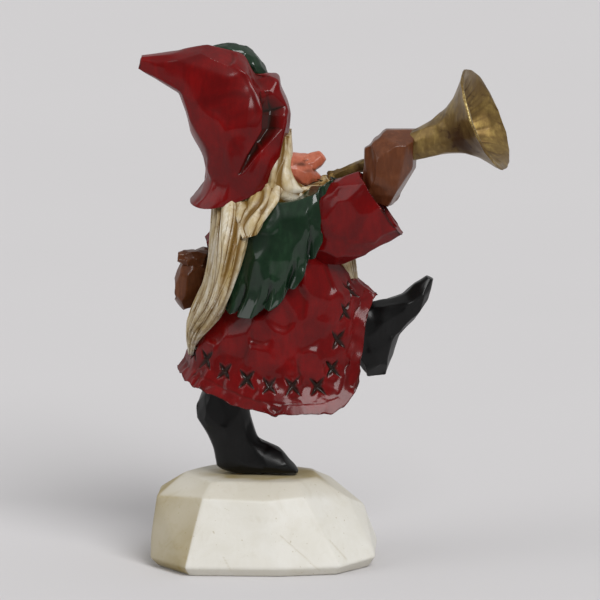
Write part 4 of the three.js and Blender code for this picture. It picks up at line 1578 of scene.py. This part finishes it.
@dataclass
class Horn(Assembly):
    """The gold horn: a thin tube, and a bell with a hammered skin.

    Attributes:
        start: Middle of the mouthpiece.
        mouth: Middle of the bell's mouth.
        bell_start: How far from the lips the bell starts.
        socket: How far the tube goes on inside the bell.
        radius: The bell's widest radius.
        wobble: How far out of round the bell's mouth is.
    """

    start: tuple[float, float, float] = (15.6, 0, 91.5)
    mouth: tuple[float, float, float] = (52.5, -8.5, 107.3)
    bell_start: float = 15.0
    socket: float = 4.0
    radius: float = 12.8
    wobble: float = 0.018

    def turned(self, profile: Rows, columns: int, rows: int, wobble: float) -> Skin:
        """Turns a profile round the horn's axis.

        The point at radius r and distance s along the axis is start + s axis +
        r (cos(a) side + sin(a) up), and the wall is out of round by wobble.

        Args:
            profile: Rows of radius and distance from the lips.
            columns: Grid columns.
            rows: Grid rows.
            wobble: How far out of round the mouth is.

        Returns:
            The skin.
        """
        points = np.array(profile, float)
        steps = np.concatenate([[0], np.cumsum(np.linalg.norm(np.diff(points, axis=0), axis=1))])
        at = np.linspace(0, steps[-1], rows)
        radius, far = (np.interp(at, steps, points[:, k])[:, None] for k in (0, 1))
        wrap = np.arange(columns) / columns * TAU
        uneven = np.sin(wrap * 2 + 0.7) + 0.6 * np.sin(wrap * 5 + 2) + 0.35 * np.sin(wrap * 9)
        radius = radius * (1 + wobble * uneven[None, :] * (radius / self.radius) ** 2)
        start, mouth = np.array(self.start, float), np.array(self.mouth, float)
        axis = (mouth - start) / np.linalg.norm(mouth - start)
        side = np.cross(axis, [0, 0, 1])
        side /= np.linalg.norm(side)
        up = np.cross(side, axis)
        ring = np.cos(wrap)[None, :, None] * side + np.sin(wrap)[None, :, None] * up
        spot = start + far[..., None] * axis + radius[..., None] * ring
        return Skin(spot, wrap, at / steps[-1])

    def build(self) -> None:
        """Turns and hammers the two pieces of the horn."""
        length = float(np.linalg.norm(np.array(self.mouth) - np.array(self.start)))
        end = self.bell_start + self.socket
        tube = self.turned([
            [0, 0], [1.45, 0], [1.65, 0.3], [1.65, 0.9], [1.3, 1.6], [1.25, 2.8], [1.35, 6],
            [1.55, 12], [1.5, end], [0, end],
        ], 90, 130, 0.0)
        tube.whittle(2.4, 51, scoop=0.04, strength=0.8, edge=0.1)
        self.add(tube, "horn_tube_carved", "horn_tube", Slot.GOLD)
        bell = self.turned([
            [0, self.bell_start], [2.5, self.bell_start], [3.2, 20], [3.8, 25], [4.5, 29.2],
            [5.8, 32.8], [8.1, 36.2], [10.9, 39.0], [12.2, 40.1], [self.radius, length - 0.7],
            [12.75, length - 0.15], [12.2, length], [11.2, 40.6], [9.4, 38.9], [6.9, 36.2],
            [4.7, 32.8], [3.3, 29.2], [2.2, 26], [1.2, 24.8], [0, 24.6],
        ], 260, 200, self.wobble)
        inside = smooth_step(0.6, 0.7, bell.along)
        bell.whittle(5.2, 53, scoop=0.1, strength=0.6, edge=0.35)
        crease = np.abs(np.sin(bell.wrap * 6.5 + 0.8 * np.sin(bell.wrap * 3)))
        strokes = np.sin(bell.wrap * 31 + 2 * np.sin(bell.wrap * 4)) * np.sin(bell.wrap * 13 + 1)
        # Painted shade: the inside of the bell is darkened toward its upper side, where shade falls.
        shade = smooth_step(0.35, 0.9, np.sin(bell.wrap))
        patch = bump_at(turn_between(bell.wrap, 5.9), 0, 0.8) * bump_at(bell.along, 0.43, 0.075)
        bell.stain_and_shade = np.maximum(bell.stain_and_shade, inside * (0.35 * np.clip(strokes, 0, 1) + 0.2 * shade))
        bell.stain_and_shade = np.maximum(bell.stain_and_shade, 0.95 * patch + 0.08 * (1 - inside))
        bell.push(-0.16 * inside * (1 - crease) ** 2 * np.ones_like(bell.stain_and_shade))
        self.add(bell, "horn_bell_carved", "horn_bell", Slot.GOLD)


@dataclass
class Dowels(Assembly):
    """The birch dowels inside the joints, which stay as the CAD made them."""

    def build(self) -> None:
        """Leaves the CAD dowels in place."""

    def dress(self, materials: dict[Slot, bpy.types.Material]) -> None:
        """Gives each dowel its wood."""
        for name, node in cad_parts.items():
            if name.endswith("_pin"):
                node.data.materials.clear()
                node.data.materials.append(materials[Slot.BIRCH])
                LOG.info("%s keeps its CAD shape", name)


# ---- Studio --------------------------------------------------------------------------------


@dataclass(frozen=True)
class SoftBox:
    """A very distant soft box, which lights the whole floor evenly.

    Attributes:
        name: The light's name.
        toward: Direction from the figure to the light.
        strength: Its strength in watts per square metre.
        degrees: How wide it looks from the figure.
    """

    name: str
    toward: tuple[float, float, float]
    strength: float
    degrees: float

    def hang(self) -> None:
        """Adds the light to the scene."""
        data = bpy.data.lights.new(self.name, "SUN")
        data.energy, data.angle = self.strength, math.radians(self.degrees)
        lamp = bpy.data.objects.new(self.name, data)
        lamp.location = Vector(self.toward)
        lamp.rotation_euler = Vector(self.toward).to_track_quat("Z", "Y").to_euler()
        bpy.context.scene.collection.objects.link(lamp)


SOFT_BOXES = (
    SoftBox("key", (0.5, -0.95, 0.95), 2.3, 32),
    SoftBox("left", (-1.0, -0.35, 0.6), 0.6, 40),
)


@dataclass
class Studio:
    """The pale floor, the soft lights and the camera.

    Attributes:
        elevation: How far above level the camera looks from, in degrees.
        view_width: How much the picture shows from side to side, in metres.
        distance: How far off the camera is.
        sensor: The camera's sensor width in millimetres.
        floor_reach: Half the floor's width.
        dim: The room's light behind the camera.
        pale: The room's light on its palest side.
        pale_side: Direction of that side.
        aim: From the middle of the CAD bounds to the middle of the picture.
    """

    elevation: float = 11.0
    view_width: float = 0.1416
    distance: float = 4.0
    sensor: float = 36.0
    floor_reach: float = 3.0
    dim: float = 0.03
    pale: float = 0.56
    pale_side: tuple[float, float, float] = (-0.1, 0.75, 0.65)
    aim: Vector = field(default_factory=lambda: Vector((-0.0055, 0, 0.0003)))

    def floor(self) -> None:
        """Lays a wide pale sheet on which the figurine stands."""
        reach = self.floor_reach
        corners = [(-reach, -reach, 0), (reach, -reach, 0), (reach, reach, 0), (-reach, reach, 0)]
        mesh = bpy.data.meshes.new("floor")
        mesh.from_pydata(corners, [], [(0, 1, 2, 3)])
        sheet = bpy.data.objects.new("floor", mesh)
        bpy.context.scene.collection.objects.link(sheet)
        graph = Graph("floor_paper")
        tone = graph.noise(graph.place(), 6, 2, 0.5)
        colour = graph.mix(tone, rgb(203, 201, 202), rgb(207, 205, 206))
        sheet.data.materials.append(graph.finish({"Base Color": colour, "Roughness": 0.9}))

    def camera(self) -> None:
        """Sets up a long lens that looks along +Y and slightly down."""
        low, high = CAD_BOUNDS
        target = (low + high) / 2
        target.y = 0
        target += self.aim
        data = bpy.data.cameras.new("camera")
        data.sensor_width = self.sensor
        data.lens = self.sensor * self.distance / self.view_width
        data.clip_end = 50
        lens = bpy.data.objects.new("camera", data)
        tilt = math.radians(self.elevation)
        back = Vector((0, -math.cos(tilt), math.sin(tilt)))
        lens.location = target + back * self.distance
        lens.rotation_euler = (-back).to_track_quat("-Z", "Y").to_euler()
        bpy.context.scene.collection.objects.link(lens)
        bpy.context.scene.camera = lens

    def room(self) -> bpy.types.World:
        """Makes the room: pale overhead and behind the figure, and dim behind the camera."""
        world = bpy.data.worlds.new("studio")
        world.use_nodes = True
        tree = world.node_tree
        coords = tree.nodes.new("ShaderNodeTexCoord")
        toward = tree.nodes.new("ShaderNodeVectorMath")
        toward.operation = "DOT_PRODUCT"
        toward.inputs[1].default_value = self.pale_side
        ramp = tree.nodes.new("ShaderNodeMapRange")
        for index, value in enumerate((-0.75, 0.6, self.dim, self.pale), 1):
            ramp.inputs[index].default_value = value
        tree.links.new(coords.outputs["Generated"], toward.inputs[0])
        tree.links.new(toward.outputs["Value"], ramp.inputs[0])
        tree.links.new(ramp.outputs[0], tree.nodes["Background"].inputs[1])
        tree.nodes["Background"].inputs[0].default_value = (1, 1, 1, 1)
        return world

    def build(self) -> None:
        """Sets up the whole studio."""
        self.floor()
        for light in SOFT_BOXES:
            light.hang()
        bpy.context.scene.world = self.room()
        bpy.context.scene.view_settings.view_transform = "Standard"
        self.camera()


def main() -> None:
    """Builds the figurine and the studio, and reports each piece."""
    logging.basicConfig(level=logging.INFO, format="%(message)s")
    Studio().build()
    materials = {finish.slot: finish.build() for finish in FINISHES}
    for assembly in (Block(), Boots(), Coat(), Cape(), Head(), Hat(), Arms(), Horn(), Dowels()):
        assembly.build()
        assembly.dress(materials)


if __name__ == "__main__":
    main()
